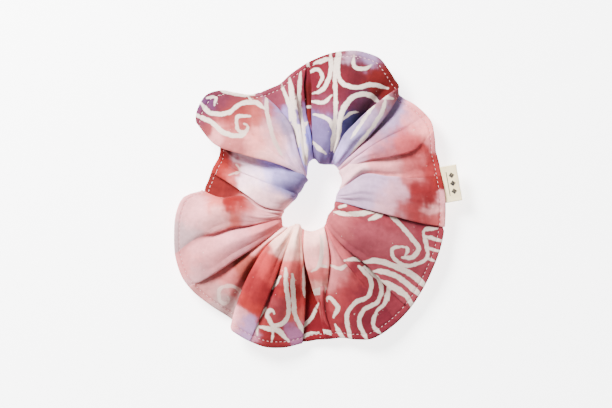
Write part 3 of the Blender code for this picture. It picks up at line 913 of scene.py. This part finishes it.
class Weaver:
    """Builds the node tree of one finish."""

    def __init__(self, name: str) -> None:
        """Starts a material.

        Args:
            name: the material's name.
        """
        self.material = bpy.data.materials.new(name)
        self.material.use_nodes = True
        self.tree = self.material.node_tree
        self.shader = self.tree.nodes["Principled BSDF"]

    def set(self, **values: float | tuple) -> None:
        """Sets sockets of the shader, each named with underscores for spaces."""
        for name, value in values.items():
            self.shader.inputs[name.replace("_", " ")].default_value = value

    def join(self, target: bpy.types.NodeSocket, value: bpy.types.NodeSocket | float | tuple) -> None:
        """Feeds a socket from another socket, or with a plain value."""
        if isinstance(value, bpy.types.NodeSocket):
            self.tree.links.new(value, target)
        else:
            target.default_value = value

    def math(self, kind: str, first: object, second: object = 0.0) -> bpy.types.NodeSocket:
        """A maths node.

        Args:
            kind: the operation.
            first: socket or number.
            second: socket or number.

        Returns:
            The result's socket.
        """
        node = self.tree.nodes.new("ShaderNodeMath")
        node.operation = kind
        self.join(node.inputs[0], first)
        self.join(node.inputs[1], second)
        return node.outputs[0]

    def remap(self, value: object, low: float, high: float,
              out: tuple[float, float] = (0.0, 1.0)) -> bpy.types.NodeSocket:
        """Eases a value from one range to another."""
        node = self.tree.nodes.new("ShaderNodeMapRange")
        node.interpolation_type = "SMOOTHSTEP"
        for socket, given in zip(node.inputs[:5], (value, low, high, *out)):
            self.join(socket, given)
        return node.outputs[0]

    def mix(self, share: object, first: object, second: object, how: str = "MIX") -> bpy.types.NodeSocket:
        """Mixes two colours."""
        node = self.tree.nodes.new("ShaderNodeMix")
        node.data_type, node.blend_type = "RGBA", how
        for socket, given in zip((node.inputs[0], node.inputs[6], node.inputs[7]), (share, first, second)):
            self.join(socket, given)
        return node.outputs[2]

    def noise(self, where: bpy.types.NodeSocket, scale: float, detail: float = 3.0) -> bpy.types.NodeSocket:
        """Smooth noise, about 0.5 on average."""
        node = self.tree.nodes.new("ShaderNodeTexNoise")
        self.join(node.inputs["Vector"], where)
        self.join(node.inputs["Scale"], scale)
        self.join(node.inputs["Detail"], detail)
        return node.outputs[0]

    def place(self) -> bpy.types.NodeSocket:
        """The point's place in metres."""
        return self.tree.nodes.new("ShaderNodeTexCoord").outputs["Object"]

    def attribute(self, name: str, colour: bool = False) -> bpy.types.NodeSocket:
        """A value stored on the mesh."""
        node = self.tree.nodes.new("ShaderNodeAttribute")
        node.attribute_name = name
        return node.outputs["Color" if colour else "Fac"]

    def threads(self, name: str, scale: float) -> tuple[bpy.types.NodeSocket, bpy.types.NodeSocket]:
        """The two coordinates of a UV map, in radians of a pattern's repeat.

        Args:
            name: the UV map.
            scale: repeats along one unit of the map.

        Returns:
            The two angles.
        """
        node = self.tree.nodes.new("ShaderNodeUVMap")
        node.uv_map = name
        split = self.tree.nodes.new("ShaderNodeSeparateXYZ")
        self.join(split.inputs[0], node.outputs[0])
        return tuple(self.math("MULTIPLY", split.outputs[axis], 2 * math.pi * scale) for axis in (0, 1))

    def relief(self, height: bpy.types.NodeSocket, distance: float, strength: float = 1.0,
               onto: bpy.types.NodeSocket | None = None) -> bpy.types.NodeSocket:
        """Raises the surface by a pattern, in metres."""
        node = self.tree.nodes.new("ShaderNodeBump")
        self.join(node.inputs["Height"], height)
        self.join(node.inputs["Distance"], distance)
        self.join(node.inputs["Strength"], strength)
        if onto is not None:
            self.join(node.inputs["Normal"], onto)
        self.join(self.shader.inputs["Normal"], node.outputs[0])
        return node.outputs[0]


MAP = "weave"
MAP_LENGTH_MM = 600.0


@dataclass(frozen=True)
class PrintedCotton:
    """Plain-woven cotton, dyed in pools round wax lines."""

    thread_pitch: float = 0.42
    roughness: float = 0.86
    sheen: float = 0.03
    wax_colour: Colour = (217, 197, 184)

    def material(self) -> bpy.types.Material:
        """The finish, which reads the dye, darkened with painted shade along the topstitching, and the wax from
        the mesh.
        """
        make = Weaver("printed_cotton_cloth")
        place = make.place()
        blotch, speck = make.noise(place, 95.0, 4.0), make.noise(place, 520.0, 4.0)
        # The stored dye colour also carries painted shade along the topstitching.
        dye = make.attribute("dye", colour=True)
        clouds = make.mix(make.remap(blotch, 0.25, 0.75), (0.86, 0.84, 0.85, 1), (1.1, 1.1, 1.1, 1))
        flecks = make.mix(make.remap(speck, 0.2, 0.8), (0.9, 0.89, 0.9, 1), (1.08, 1.08, 1.08, 1))
        light = make.mix(1.0, make.mix(1.0, dye, clouds, "MULTIPLY"), flecks, "MULTIPLY")
        spots = make.remap(make.noise(place, 560.0, 1.0), 0.76, 0.8, (0.0, 0.5))
        light = make.mix(spots, light, rgba(self.wax_colour))
        wobble = make.math("MULTIPLY", make.math("SUBTRACT", make.noise(place, 330.0, 3.0), 0.5), 1.5)
        depth = make.math("ADD", make.attribute("wax"), wobble)
        clear = make.math("MULTIPLY", make.remap(depth, -0.35, 0.25), make.attribute("wax_strength"))
        veins = make.remap(make.noise(place, 1400.0, 2.0), 0.3, 0.7, (0.82, 1.0))
        wax = make.mix(make.math("MULTIPLY", clear, veins), light, rgba(self.wax_colour))
        warp, weft = make.threads(MAP, MAP_LENGTH_MM / self.thread_pitch)
        cross = make.math("MULTIPLY", make.math("SINE", warp), make.math("SINE", weft))
        # The weave's colour is darker where its relief is low: painted shade between the threads.
        grain = make.mix(make.remap(cross, -1.0, 1.0), (0.93, 0.93, 0.93, 1), (1.04, 1.04, 1.04, 1))
        make.join(make.shader.inputs["Base Color"], make.mix(1.0, wax, grain, "MULTIPLY"))
        soft = make.relief(make.noise(place, 260.0, 3.0), 0.0006, 0.5)
        make.relief(cross, 0.00005, 0.8, soft)
        make.set(Roughness=self.roughness, Sheen_Weight=self.sheen)
        make.set(Sheen_Roughness=0.45, Specular_IOR_Level=0.12)
        return make.material


@dataclass(frozen=True)
class SpunThread:
    """Twisted thread: sewing thread, or the covered strands of a braid."""

    name: str
    colour: Colour
    twist_pitch: float = 0.5

    def material(self) -> bpy.types.Material:
        """The finish, with fine slanted bands of twist, darker in the grooves of the twist as painted shade."""
        make = Weaver(self.name)
        place = make.place()
        split = make.tree.nodes.new("ShaderNodeSeparateXYZ")
        make.join(split.inputs[0], place)
        slant = make.math("ADD", make.math("ADD", split.outputs[0], split.outputs[1]), split.outputs[2])
        bands = make.math("SINE", make.math("MULTIPLY", slant, 2 * math.pi / (self.twist_pitch * MM)))
        pale = rgba(self.colour)
        # Painted shade: a darker copy of the thread's colour for the grooves of the twist, where the relief is
        # low.
        twist_shade = tuple(channel * 0.72 for channel in pale[:3]) + (1.0,)
        fuzz = make.remap(make.noise(place, 2200.0, 2.0), 0.3, 0.7)
        tone = make.mix(make.remap(bands, -1.0, 1.0), twist_shade, pale)
        make.join(make.shader.inputs["Base Color"], make.mix(make.math("MULTIPLY", fuzz, 0.3), tone, pale))
        make.relief(bands, 0.00004, 0.7)
        make.set(Roughness=0.7, Sheen_Weight=0.2, Specular_IOR_Level=0.35)
        return make.material


@dataclass(frozen=True)
class LabelTwill:
    """Cream twill tape with a plain ornament: a row of diamonds over a thin rule."""

    ground: Colour = (255, 234, 184)
    ground_worn: Colour = (248, 222, 170)
    ink: Colour = (38, 34, 36)
    twill_pitch: float = 0.5
    diamond_pitch: float = 4.2
    diamond_half: float = 1.6
    diamond_row: float = 4.7
    rule_row: float = 2.2
    rule_half: float = 0.22
    ornament_half_length: float = 6.3
    map_middle: float = 20.0

    def material(self) -> bpy.types.Material:
        """The finish, which reads the tape's own map."""
        make = Weaver("label_twill")
        node = make.tree.nodes.new("ShaderNodeUVMap")
        node.uv_map = MAP
        split = make.tree.nodes.new("ShaderNodeSeparateXYZ")
        make.join(split.inputs[0], node.outputs[0])
        along = make.math("MULTIPLY", split.outputs[0], MAP_LENGTH_MM)
        across = make.math("MULTIPLY", split.outputs[1], MAP_LENGTH_MM)
        from_middle = make.math("ABSOLUTE", make.math("SUBTRACT", along, self.map_middle))
        near = make.math("PINGPONG", from_middle, self.diamond_pitch / 2)
        from_row = make.math("ABSOLUTE", make.math("SUBTRACT", across, self.diamond_row))
        diamond = make.math("ADD", near, from_row)
        rule = make.math("ABSOLUTE", make.math("SUBTRACT", across, self.rule_row))
        marks = make.math("MAXIMUM", make.remap(diamond, self.diamond_half + 0.1, self.diamond_half - 0.1),
                          make.remap(rule, self.rule_half + 0.08, self.rule_half - 0.08))
        within = make.remap(from_middle, self.ornament_half_length + 0.1, self.ornament_half_length - 0.1)
        place = make.place()
        slant = make.math("ADD", along, across)
        twill = make.math("SINE", make.math("MULTIPLY", slant, 2 * math.pi / self.twill_pitch))
        uneven = make.remap(make.noise(place, 300.0), 0.3, 0.7)
        tone = make.mix(uneven, rgba(self.ground_worn), rgba(self.ground))
        worn = make.remap(make.noise(place, 1500.0), 0.2, 0.55, (0.7, 1.0))
        printed = make.math("MULTIPLY", make.math("MULTIPLY", marks, within), worn)
        inked = make.mix(printed, tone, rgba(self.ink))
        make.join(make.shader.inputs["Base Color"], inked)
        make.relief(twill, 0.00005, 0.8)
        make.set(Roughness=0.82, Sheen_Weight=0.15, Specular_IOR_Level=0.25)
        return make.material


def dress(piece: bpy.types.Object, material: bpy.types.Material) -> None:
    """Gives a piece its finish."""
    piece.data.materials.clear()
    piece.data.materials.append(material)


# ---------------------------------------------------------------- sub-assemblies


def tube_round(path: Array, radius: float, sides: int, closed: bool = False) -> tuple[Array, list[list[int]]]:
    """A thin tube along a path, with pointed ends where it is open.

    Args:
        path: points along it.
        radius: its radius.
        sides: faces round it.
        closed: True where the path is a loop.

    Returns:
        Points and faces.
    """
    ahead = np.roll(path, -1, axis=0) - np.roll(path, 1, axis=0)
    if not closed:
        ahead[0], ahead[-1] = path[1] - path[0], path[-1] - path[-2]
    ahead /= np.linalg.norm(ahead, axis=1, keepdims=True)
    side = np.cross(ahead, (0.0, 0.0, 1.0))
    side /= np.maximum(np.linalg.norm(side, axis=1, keepdims=True), 1e-6)
    up = np.cross(side, ahead)
    turn = np.arange(sides) * 2 * math.pi / sides
    ring = np.cos(turn)[None, :, None] * side[:, None, :] + np.sin(turn)[None, :, None] * up[:, None, :]
    points = (path[:, None, :] + radius * ring).reshape(-1, 3)
    count = len(path)
    faces = []
    for step in range(count if closed else count - 1):
        here, there = step * sides, (step + 1) % count * sides
        for edge in range(sides):
            after = (edge + 1) % sides
            faces.append([here + edge, here + after, there + after, there + edge])
    if not closed:
        tips = np.array([path[0] - ahead[0] * radius * 0.7, path[-1] + ahead[-1] * radius * 0.7])
        points = np.concatenate([points, tips])
        last = (count - 1) * sides
        for edge in range(sides):
            after = (edge + 1) % sides
            faces.append([count * sides, after, edge])
            faces.append([count * sides + 1, last + edge, last + after])
    return points, faces


def joined(parts: Sequence[tuple[Array, list[list[int]]]]) -> tuple[Array, list[list[int]]]:
    """Several bits of mesh as one."""
    points, faces, start = [], [], 0
    for some, more in parts:
        points.append(some)
        faces.extend([index + start for index in face] for face in more)
        start += len(some)
    return np.concatenate(points), faces


@dataclass
class Cover:
    """The gathered cotton tube, in lengths that reach from the middle of one sector to the next."""

    shape: ClothShape
    sectors: Sectors
    wax_print: WaxPrint = field(default_factory=WaxPrint)
    column_step: float = 0.4
    rolled_rows: int = 15
    top_rows: int = 66
    under_rows: int = 40
    edge_rows: tuple[float, ...] = (0.941, 0.947, 0.952, 0.957, 0.962, 0.968, 0.976, 0.984, 0.992, 1.0)
    cloth: float = 0.28
    strip_width: float = 0.116
    strip_length: float = 0.5

    def columns(self, low: float, high: float) -> Array:
        """The angles that name the columns between two angles, closer together in the folds."""
        grid = np.arange(low, high, self.column_step)
        turned = [
            fold.middle + fold.half_width * np.linspace(-1, 1, 19)
            for fold in self.shape.all_folds() if fold.over is not Over.CREASE
        ]
        found = np.unique(np.concatenate([grid, *turned, [low, high]]))
        found = found[(found >= low) & (found <= high)]
        kept = found[np.concatenate([[True], np.diff(found) > 0.06])]
        kept[-1] = high
        return kept

    def rows(self, flat_rows: int, round_rows: int) -> Array:
        """Shares from the opening to the edge, closer together where the cloth bends."""
        bend = self.shape.round_share
        rolled = bend * (1 - np.cos(np.linspace(0, math.pi / 2, round_rows)))
        flat = np.linspace(bend, 0.935, flat_rows)[1:]
        return np.concatenate([rolled, flat, self.edge_rows])

    def build(self, cotton: bpy.types.Material) -> list[bpy.types.Object]:
        """Makes every length of the cloth.

        Args:
            cotton: its finish.

        Returns:
            The pieces, in order round the ring.
        """
        top_rows, under_rows = self.rows(self.top_rows, self.rolled_rows), self.rows(self.under_rows, 11)
        end = self.shape.all_folds()[-1].middle
        pieces, areas = [], []
        for ending, first, second, low, high in self.sectors.spans(self.shape.start, end):
            columns = self.columns(low, high)
            top = self.shape.place(columns, top_rows, False)
            under = self.shape.place(columns, under_rows[:0:-1], True)
            rim = (top[:, -1:] + under[:, :1]) / 2
            out = rim - np.array([*self.shape.centre, 0.0])
            out[..., 2] = 0.0
            rim = rim + 0.25 * out / np.linalg.norm(out, axis=-1, keepdims=True)
            points = np.concatenate([top, rim, under], axis=1)
            around = points.shape[1]
            piece = new_mesh(f"cloth_{ending}", points.reshape(-1, 3), grid_faces(len(columns), around, True))
            angles = np.repeat(columns, around)
            flat = points.reshape(-1, 3)[:, :2] - np.array(self.shape.centre)
            shares = np.concatenate([top_rows, [1.0], under_rows[:0:-1]])
            self.paint(piece, angles, flat, np.tile(shares, len(columns)))
            self.unroll(piece, points)
            areas.append(sum(face.area for face in piece.data.polygons))
            solidify(piece, "cloth", self.cloth, -1.0)
            piece.data.set_sharp_from_angle(angle=math.radians(60.0))
            count = len(piece.data.vertices) // len(angles)
            self.sectors.bend(piece, first, second, np.tile(angles, count)[:len(piece.data.vertices)])
            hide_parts(f"cloth_cover_{first:02d}")
            dress(piece, cotton)
            pieces.append(piece)
        for piece, area in zip(pieces, areas):
            length = self.strip_length * area / sum(areas)
            LOG.info("%s: %d faces, %.1f mm of the strip", piece.name, len(piece.data.polygons), length / MM)
        LOG.info("cloth shown is %.2f of the strip", sum(areas) / self.strip_width / self.strip_length)
        return pieces

    def paint(self, piece: bpy.types.Object, along: Array, flat: Array, shares: Array) -> None:
        """Stores the print on a piece, point by point, with painted shade darkening it along the groove of the
        topstitching.
        """
        colours, depth, strength = self.wax_print.read(along, flat)
        # Painted shade: the colour is darkened along the groove that the topstitching pulls in.
        stitch_shade = stitch_groove(shares, 0.6)
        colours[:, :3] *= 1 - stitch_shade[:, None] * np.array([0.16, 0.3, 0.28])
        stored = (
            ("dye", "FLOAT_COLOR", "color", colours), ("wax", "FLOAT", "value", depth),
            ("wax_strength", "FLOAT", "value", strength),
        )
        for name, kind, field_name, values in stored:
            layer = piece.data.attributes.new(name, kind, "POINT")
            layer.data.foreach_set(field_name, values.astype(np.float32).ravel())

    def unroll(self, piece: bpy.types.Object, points: Array) -> None:
        """Lays the piece's own map along its threads, true to length."""
        along = np.cumsum(np.linalg.norm(np.diff(points, axis=0, prepend=points[:1]), axis=-1), axis=0)
        along -= along[len(along) // 2]
        across = np.cumsum(np.linalg.norm(np.diff(points, axis=1, prepend=points[:, :1]), axis=-1), axis=1)
        flat = np.stack([along / MAP_LENGTH_MM + 0.5, across / MAP_LENGTH_MM + 0.2], axis=-1).reshape(-1, 2)
        layer = piece.data.uv_layers.new(name=MAP)
        corners = np.empty(len(piece.data.loops), dtype=np.int32)
        piece.data.loops.foreach_get("vertex_index", corners)
        layer.data.foreach_set("uv", flat[corners].astype(np.float32).ravel())


@dataclass
class Stitching:
    """The topstitching along the outer edge, and the seams inside."""

    shape: ClothShape
    sectors: Sectors
    inset: float = STITCH_INSET
    pitch: float = 2.3
    dash: float = 1.55
    thread: float = 0.19
    seam_inset: float = 1.2
    seam_radius: float = 0.1

    def line(self, low: float, high: float, inset: float, under: bool,
             raise_by: float) -> tuple[Array, Array]:
        """Points along the edge, a little inside it.

        Args:
            low: first angle.
            high: last angle.
            inset: how far inside the edge.
            under: True for the underside.
            raise_by: how far out of the cloth.

        Returns:
            Points and the angles that name them.
        """
        angles = np.arange(low, high + 0.05, 0.1)
        angles[-1] = min(angles[-1], high)
        share = 1.0 - inset / LAYER_WIDTH
        points = self.shape.place(angles, np.array([share - 0.01, share, share + 0.01]), under)
        normal = np.cross(np.gradient(points[:, 1], axis=0), points[:, 2] - points[:, 0])
        normal /= np.maximum(np.linalg.norm(normal, axis=1, keepdims=True), 1e-9)
        normal *= np.where((normal[:, 2:] > 0) == (not under), 1.0, -1.0)
        return points[:, 1] + normal * raise_by, angles

    def dashes(self, low: float, high: float, under: bool) -> tuple[list[tuple[Array, list]], list[Array]]:
        """The stitches of one row, and each one's angle."""
        points, angles = self.line(low, high, self.inset, under, 0.11)
        run = np.concatenate([[0.0], np.cumsum(np.linalg.norm(np.diff(points, axis=0), axis=1))])
        parts, names = [], []
        for start in np.arange(0.35, run[-1] - self.dash, self.pitch):
            at = start + self.dash * np.array([0.0, 0.22, 0.5, 0.78, 1.0])
            path = np.stack([np.interp(at, run, points[:, axis]) for axis in range(3)], axis=1)
            path[:, 2] += (-1.0 if under else 1.0) * np.array([-0.12, 0.05, 0.1, 0.05, -0.12])
            mesh = tube_round(path, self.thread, 6)
            parts.append(mesh)
            names.append(np.full(len(mesh[0]), np.interp(start + self.dash / 2, run, angles)))
        return parts, names

    def build(self, thread: bpy.types.Material) -> None:
        """Makes every length of both rows of stitches and of the seam in the edge.

        Args:
            thread: the finish of the sewing thread.
        """
        end = self.shape.closing.middle + 360.0
        for ending, first, second, low, high in self.sectors.spans(self.shape.start, end):
            over, over_angles = self.dashes(low, high, False)
            below, below_angles = self.dashes(low, high, True)
            points, faces = joined(over + below)
            piece = new_mesh(f"topstitch_{ending}", points, faces)
            self.sectors.bend(piece, first, second, np.concatenate(over_angles + below_angles))
            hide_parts(f"topstitch_{first:02d}")
            dress(piece, thread)
            self.edge_seam(ending, first, second, low, high, thread)
            LOG.info("%s: %d stitches", piece.name, len(over) + len(below))

    def edge_seam(self, ending: str, first: int, second: int, low: float, high: float,
                  thread: bpy.types.Material) -> None:
        """One length of the seam that joins the strip's long edges, between its two layers."""
        top, angles = self.line(low, high, self.seam_inset, False, 0.0)
        under, _ = self.line(low, high, self.seam_inset, True, 0.0)
        middle = (top + under)[::4] / 2
        points, faces = tube_round(middle, self.seam_radius, 6)
        names = np.concatenate([np.repeat(angles[::4], 6), [angles[0], angles[-1]]])
        piece = new_mesh(f"edge_seam_{ending}", points, faces)
        self.sectors.bend(piece, first, second, names)
        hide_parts(f"edge_seam_{first:02d}")
        dress(piece, thread)

    def closing_seam(self, thread: bpy.types.Material) -> None:
        """The seam round the tube that closes the ring, inside the pleat."""
        at = np.array([self.shape.start + 2.6])
        over = self.shape.place(at, np.linspace(0.04, 0.94, 40), False)[0]
        below = self.shape.place(at, np.linspace(0.94, 0.04, 40), True)[0]
        over[:, 2] -= 0.75
        below[:, 2] += 0.75
        loop = np.concatenate([over, below])
        points, faces = tube_round(loop, 0.2, 8, closed=True)
        piece = new_mesh("closing_seam_thread", points, faces)
        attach(piece, self.sectors.body(1))
        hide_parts("closing_seam")
        dress(piece, thread)


@dataclass
class ElasticLoop:
    """The braided elastic inside the tube."""

    shape: ClothShape
    sectors: Sectors
    inset: float = 7.8
    middle: float = 11.0
    width: float = 6.0
    thickness: float = 1.2
    braid_pitch: float = 2.4
    relief: float = 0.1

    def build(self, braid: bpy.types.Material) -> None:
        """Makes every length of the band.

        Args:
            braid: its finish.
        """
        half_wide, half_thick = self.width / 2, self.thickness / 2
        side = np.linspace(-half_wide, half_wide, 13)
        outline = [(half_thick, rise) for rise in side] + [(-half_thick, rise) for rise in side[::-1]]
        start = self.shape.start
        for ending, first, second, low, high in self.sectors.spans(start, start + 360.0):
            angles = np.arange(low, high + 0.4, 0.8)
            angles[-1] = high
            radius = ring_curve(OPENING, angles) + self.inset
            arc = np.radians(angles) * radius
            columns = []
            for out, rise in outline:
                slant = math.copysign(1.0, out) * rise
                ribs = np.abs(np.sin(math.pi * (arc + slant) / self.braid_pitch))
                ribs *= np.abs(math.cos(math.pi * 2.5 * rise / self.width)) ** 0.5
                thin = 1.0 - (abs(rise) / half_wide) ** 6
                reach = radius + out * thin + math.copysign(self.relief, out) * ribs * thin
                turned = np.radians(angles)
                columns.append(np.stack([
                    self.shape.centre[0] + reach * np.cos(turned),
                    self.shape.centre[1] + reach * np.sin(turned),
                    np.full(len(angles), self.middle + rise),
                ], axis=-1))
            points = np.stack(columns, axis=1)
            faces = grid_faces(len(angles), len(outline), True).tolist()
            last = (len(angles) - 1) * len(outline)
            faces += [list(range(len(outline)))[::-1], [last + index for index in range(len(outline))]]
            piece = new_mesh(f"elastic_{ending}", points.reshape(-1, 3), faces)
            self.sectors.bend(piece, first, second, np.repeat(angles, len(outline)))
            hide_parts(f"elastic_band_{first:02d}")
            dress(piece, braid)
            LOG.info("%s: %d faces", piece.name, len(piece.data.polygons))


@dataclass
class Label:
    """The folded tape caught in the outer seam."""

    shape: ClothShape
    points_to: float = 10.0
    hinge_out: float = 67.9
    sideways: float = -5.0
    proud: float = 8.0
    length: float = 19.0
    tail: float = 4.0
    gap: float = 0.2
    fold_radius: float = 0.35
    level: float = 9.0
    tape: float = 0.26

    def build(self, twill: bpy.types.Material) -> None:
        """Makes the label, which bends where it leaves the seam.

        Args:
            twill: its finish.
        """
        out = np.array([math.cos(math.radians(self.points_to)), math.sin(math.radians(self.points_to))])
        aside = np.array([-out[1], out[0]])
        start = np.array(self.shape.centre) + out * self.hinge_out + aside * self.sideways
        flat_end = self.proud - self.fold_radius
        fold = [(flat_end + self.fold_radius * math.cos(turn), (self.gap + 0.1) * math.sin(turn))
                for turn in np.linspace(math.pi / 2, -math.pi / 2, 9)[1:-1]]
        shares = np.linspace(0, 1, 20)
        upper = [(-self.tail + (self.tail + flat_end) * share, self.gap + 0.1 * share) for share in shares]
        lower = [(x, -z) for x, z in reversed(upper)]
        route = np.array(upper + fold + lower)
        across = np.linspace(-self.length / 2, self.length / 2, 40)
        rows = np.concatenate([[0.0], np.cumsum(np.linalg.norm(np.diff(route, axis=0), axis=1))])
        points, flat = [], []
        for place in across:
            wave = 0.16 * math.sin(place * 0.42 + 0.6) + 0.07 * math.sin(place * 1.1)
            edge = 0.05 * math.sin(place * 0.8)
            for (far, rise), run in zip(route, rows):
                free = float(smoothstep(far / self.proud))
                spot = start + out * (far + edge * free) + aside * place
                points.append((spot[0], spot[1], self.level + rise + wave * free))
                flat.append(((place + 20.0) / MAP_LENGTH_MM, (run - self.tail) / MAP_LENGTH_MM))
        piece = new_mesh("label_tape", np.array(points), grid_faces(len(across), len(route), False))
        layer = piece.data.uv_layers.new(name=MAP)
        for loop in piece.data.loops:
            layer.data[loop.index].uv = flat[loop.vertex_index]
        solidify(piece, "tape", self.tape, 0.0)
        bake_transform(piece)
        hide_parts("label_flap", "label_tail")
        dress(piece, twill)
        LOG.info("%s: %d faces, cut %.1f mm", piece.name, len(piece.data.polygons), rows[-1])


@dataclass
class Studio:
    """The floor, the lights and the camera."""

    looks_at: tuple[float, float] = (-6.66, -2.42)
    height: float = 1200.0
    floor_half: float = 900.0
    frame_width: float = 321.4
    sensor: float = 36.0

    def build(self) -> None:
        """Sets the studio up."""
        corners = np.array([[-1, -1, 0], [1, -1, 0], [1, 1, 0], [-1, 1, 0]]) * self.floor_half
        floor = new_mesh("floor", corners, [(0, 1, 2, 3)])
        make = Weaver("pale_floor")
        grain = make.remap(make.noise(make.place(), 40.0), 0.3, 0.7)
        paper = make.mix(grain, (0.955, 0.955, 0.955, 1), (0.965, 0.965, 0.965, 1))
        make.join(make.shader.inputs["Base Color"], paper)
        make.set(Roughness=0.9, Specular_IOR_Level=0.1, Emission_Color=(1, 1, 1, 1), Emission_Strength=3.6)
        floor.data.materials.append(make.material)
        camera = bpy.data.cameras.new("camera")
        camera.sensor_width = self.sensor
        camera.lens = self.sensor * self.height / self.frame_width
        eye = bpy.data.objects.new("camera", camera)
        eye.location = (self.looks_at[0] * MM, self.looks_at[1] * MM, self.height * MM)
        bpy.context.scene.collection.objects.link(eye)
        bpy.context.scene.camera = eye
        world = bpy.data.worlds.new("studio")
        bpy.context.scene.world = world
        world.use_nodes = True
        sky = world.node_tree.nodes["Background"].inputs
        sky[0].default_value, sky[1].default_value = (0.98, 0.98, 0.98, 1.0), 0.7
        self.lamp("key", (-420.0, 480.0, 520.0), 37.0, 320.0)

    def lamp(self, name: str, place: tuple[float, float, float], power: float, size: float) -> None:
        """A soft square light that faces the middle of the floor.

        Args:
            name: its name.
            place: where it hangs.
            power: its power in watts.
            size: its side.
        """
        light = bpy.data.lights.new(name, "AREA")
        light.energy, light.size = power, size * MM
        lamp = bpy.data.objects.new(name, light)
        lamp.location = [value * MM for value in place]
        lamp.rotation_euler = (-Vector(place)).to_track_quat("-Z", "Y").to_euler()
        bpy.context.scene.collection.objects.link(lamp)


def main() -> None:
    """Builds the scrunchie's looks, sub-assembly by sub-assembly."""
    logging.basicConfig(level=logging.INFO, format="%(name)s: %(message)s")
    shape, sectors = ClothShape(), Sectors()
    Studio().build()
    Cover(shape, sectors).build(PrintedCotton().material())
    thread = SpunThread("pale_sewing_thread", (226, 178, 176)).material()
    stitching = Stitching(shape, sectors)
    stitching.build(thread)
    stitching.closing_seam(thread)
    braid = SpunThread("braided_covering", (232, 230, 226), 0.9).material()
    ElasticLoop(shape, sectors).build(braid)
    for name in ("elastic_lap", "elastic_bartack"):
        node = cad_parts[name]
        finish = braid if name == "elastic_lap" else thread
        for slot in node.material_slots:
            slot.material = finish
    Label(shape).build(LabelTwill().material())


if __name__ == "__main__":
    main()
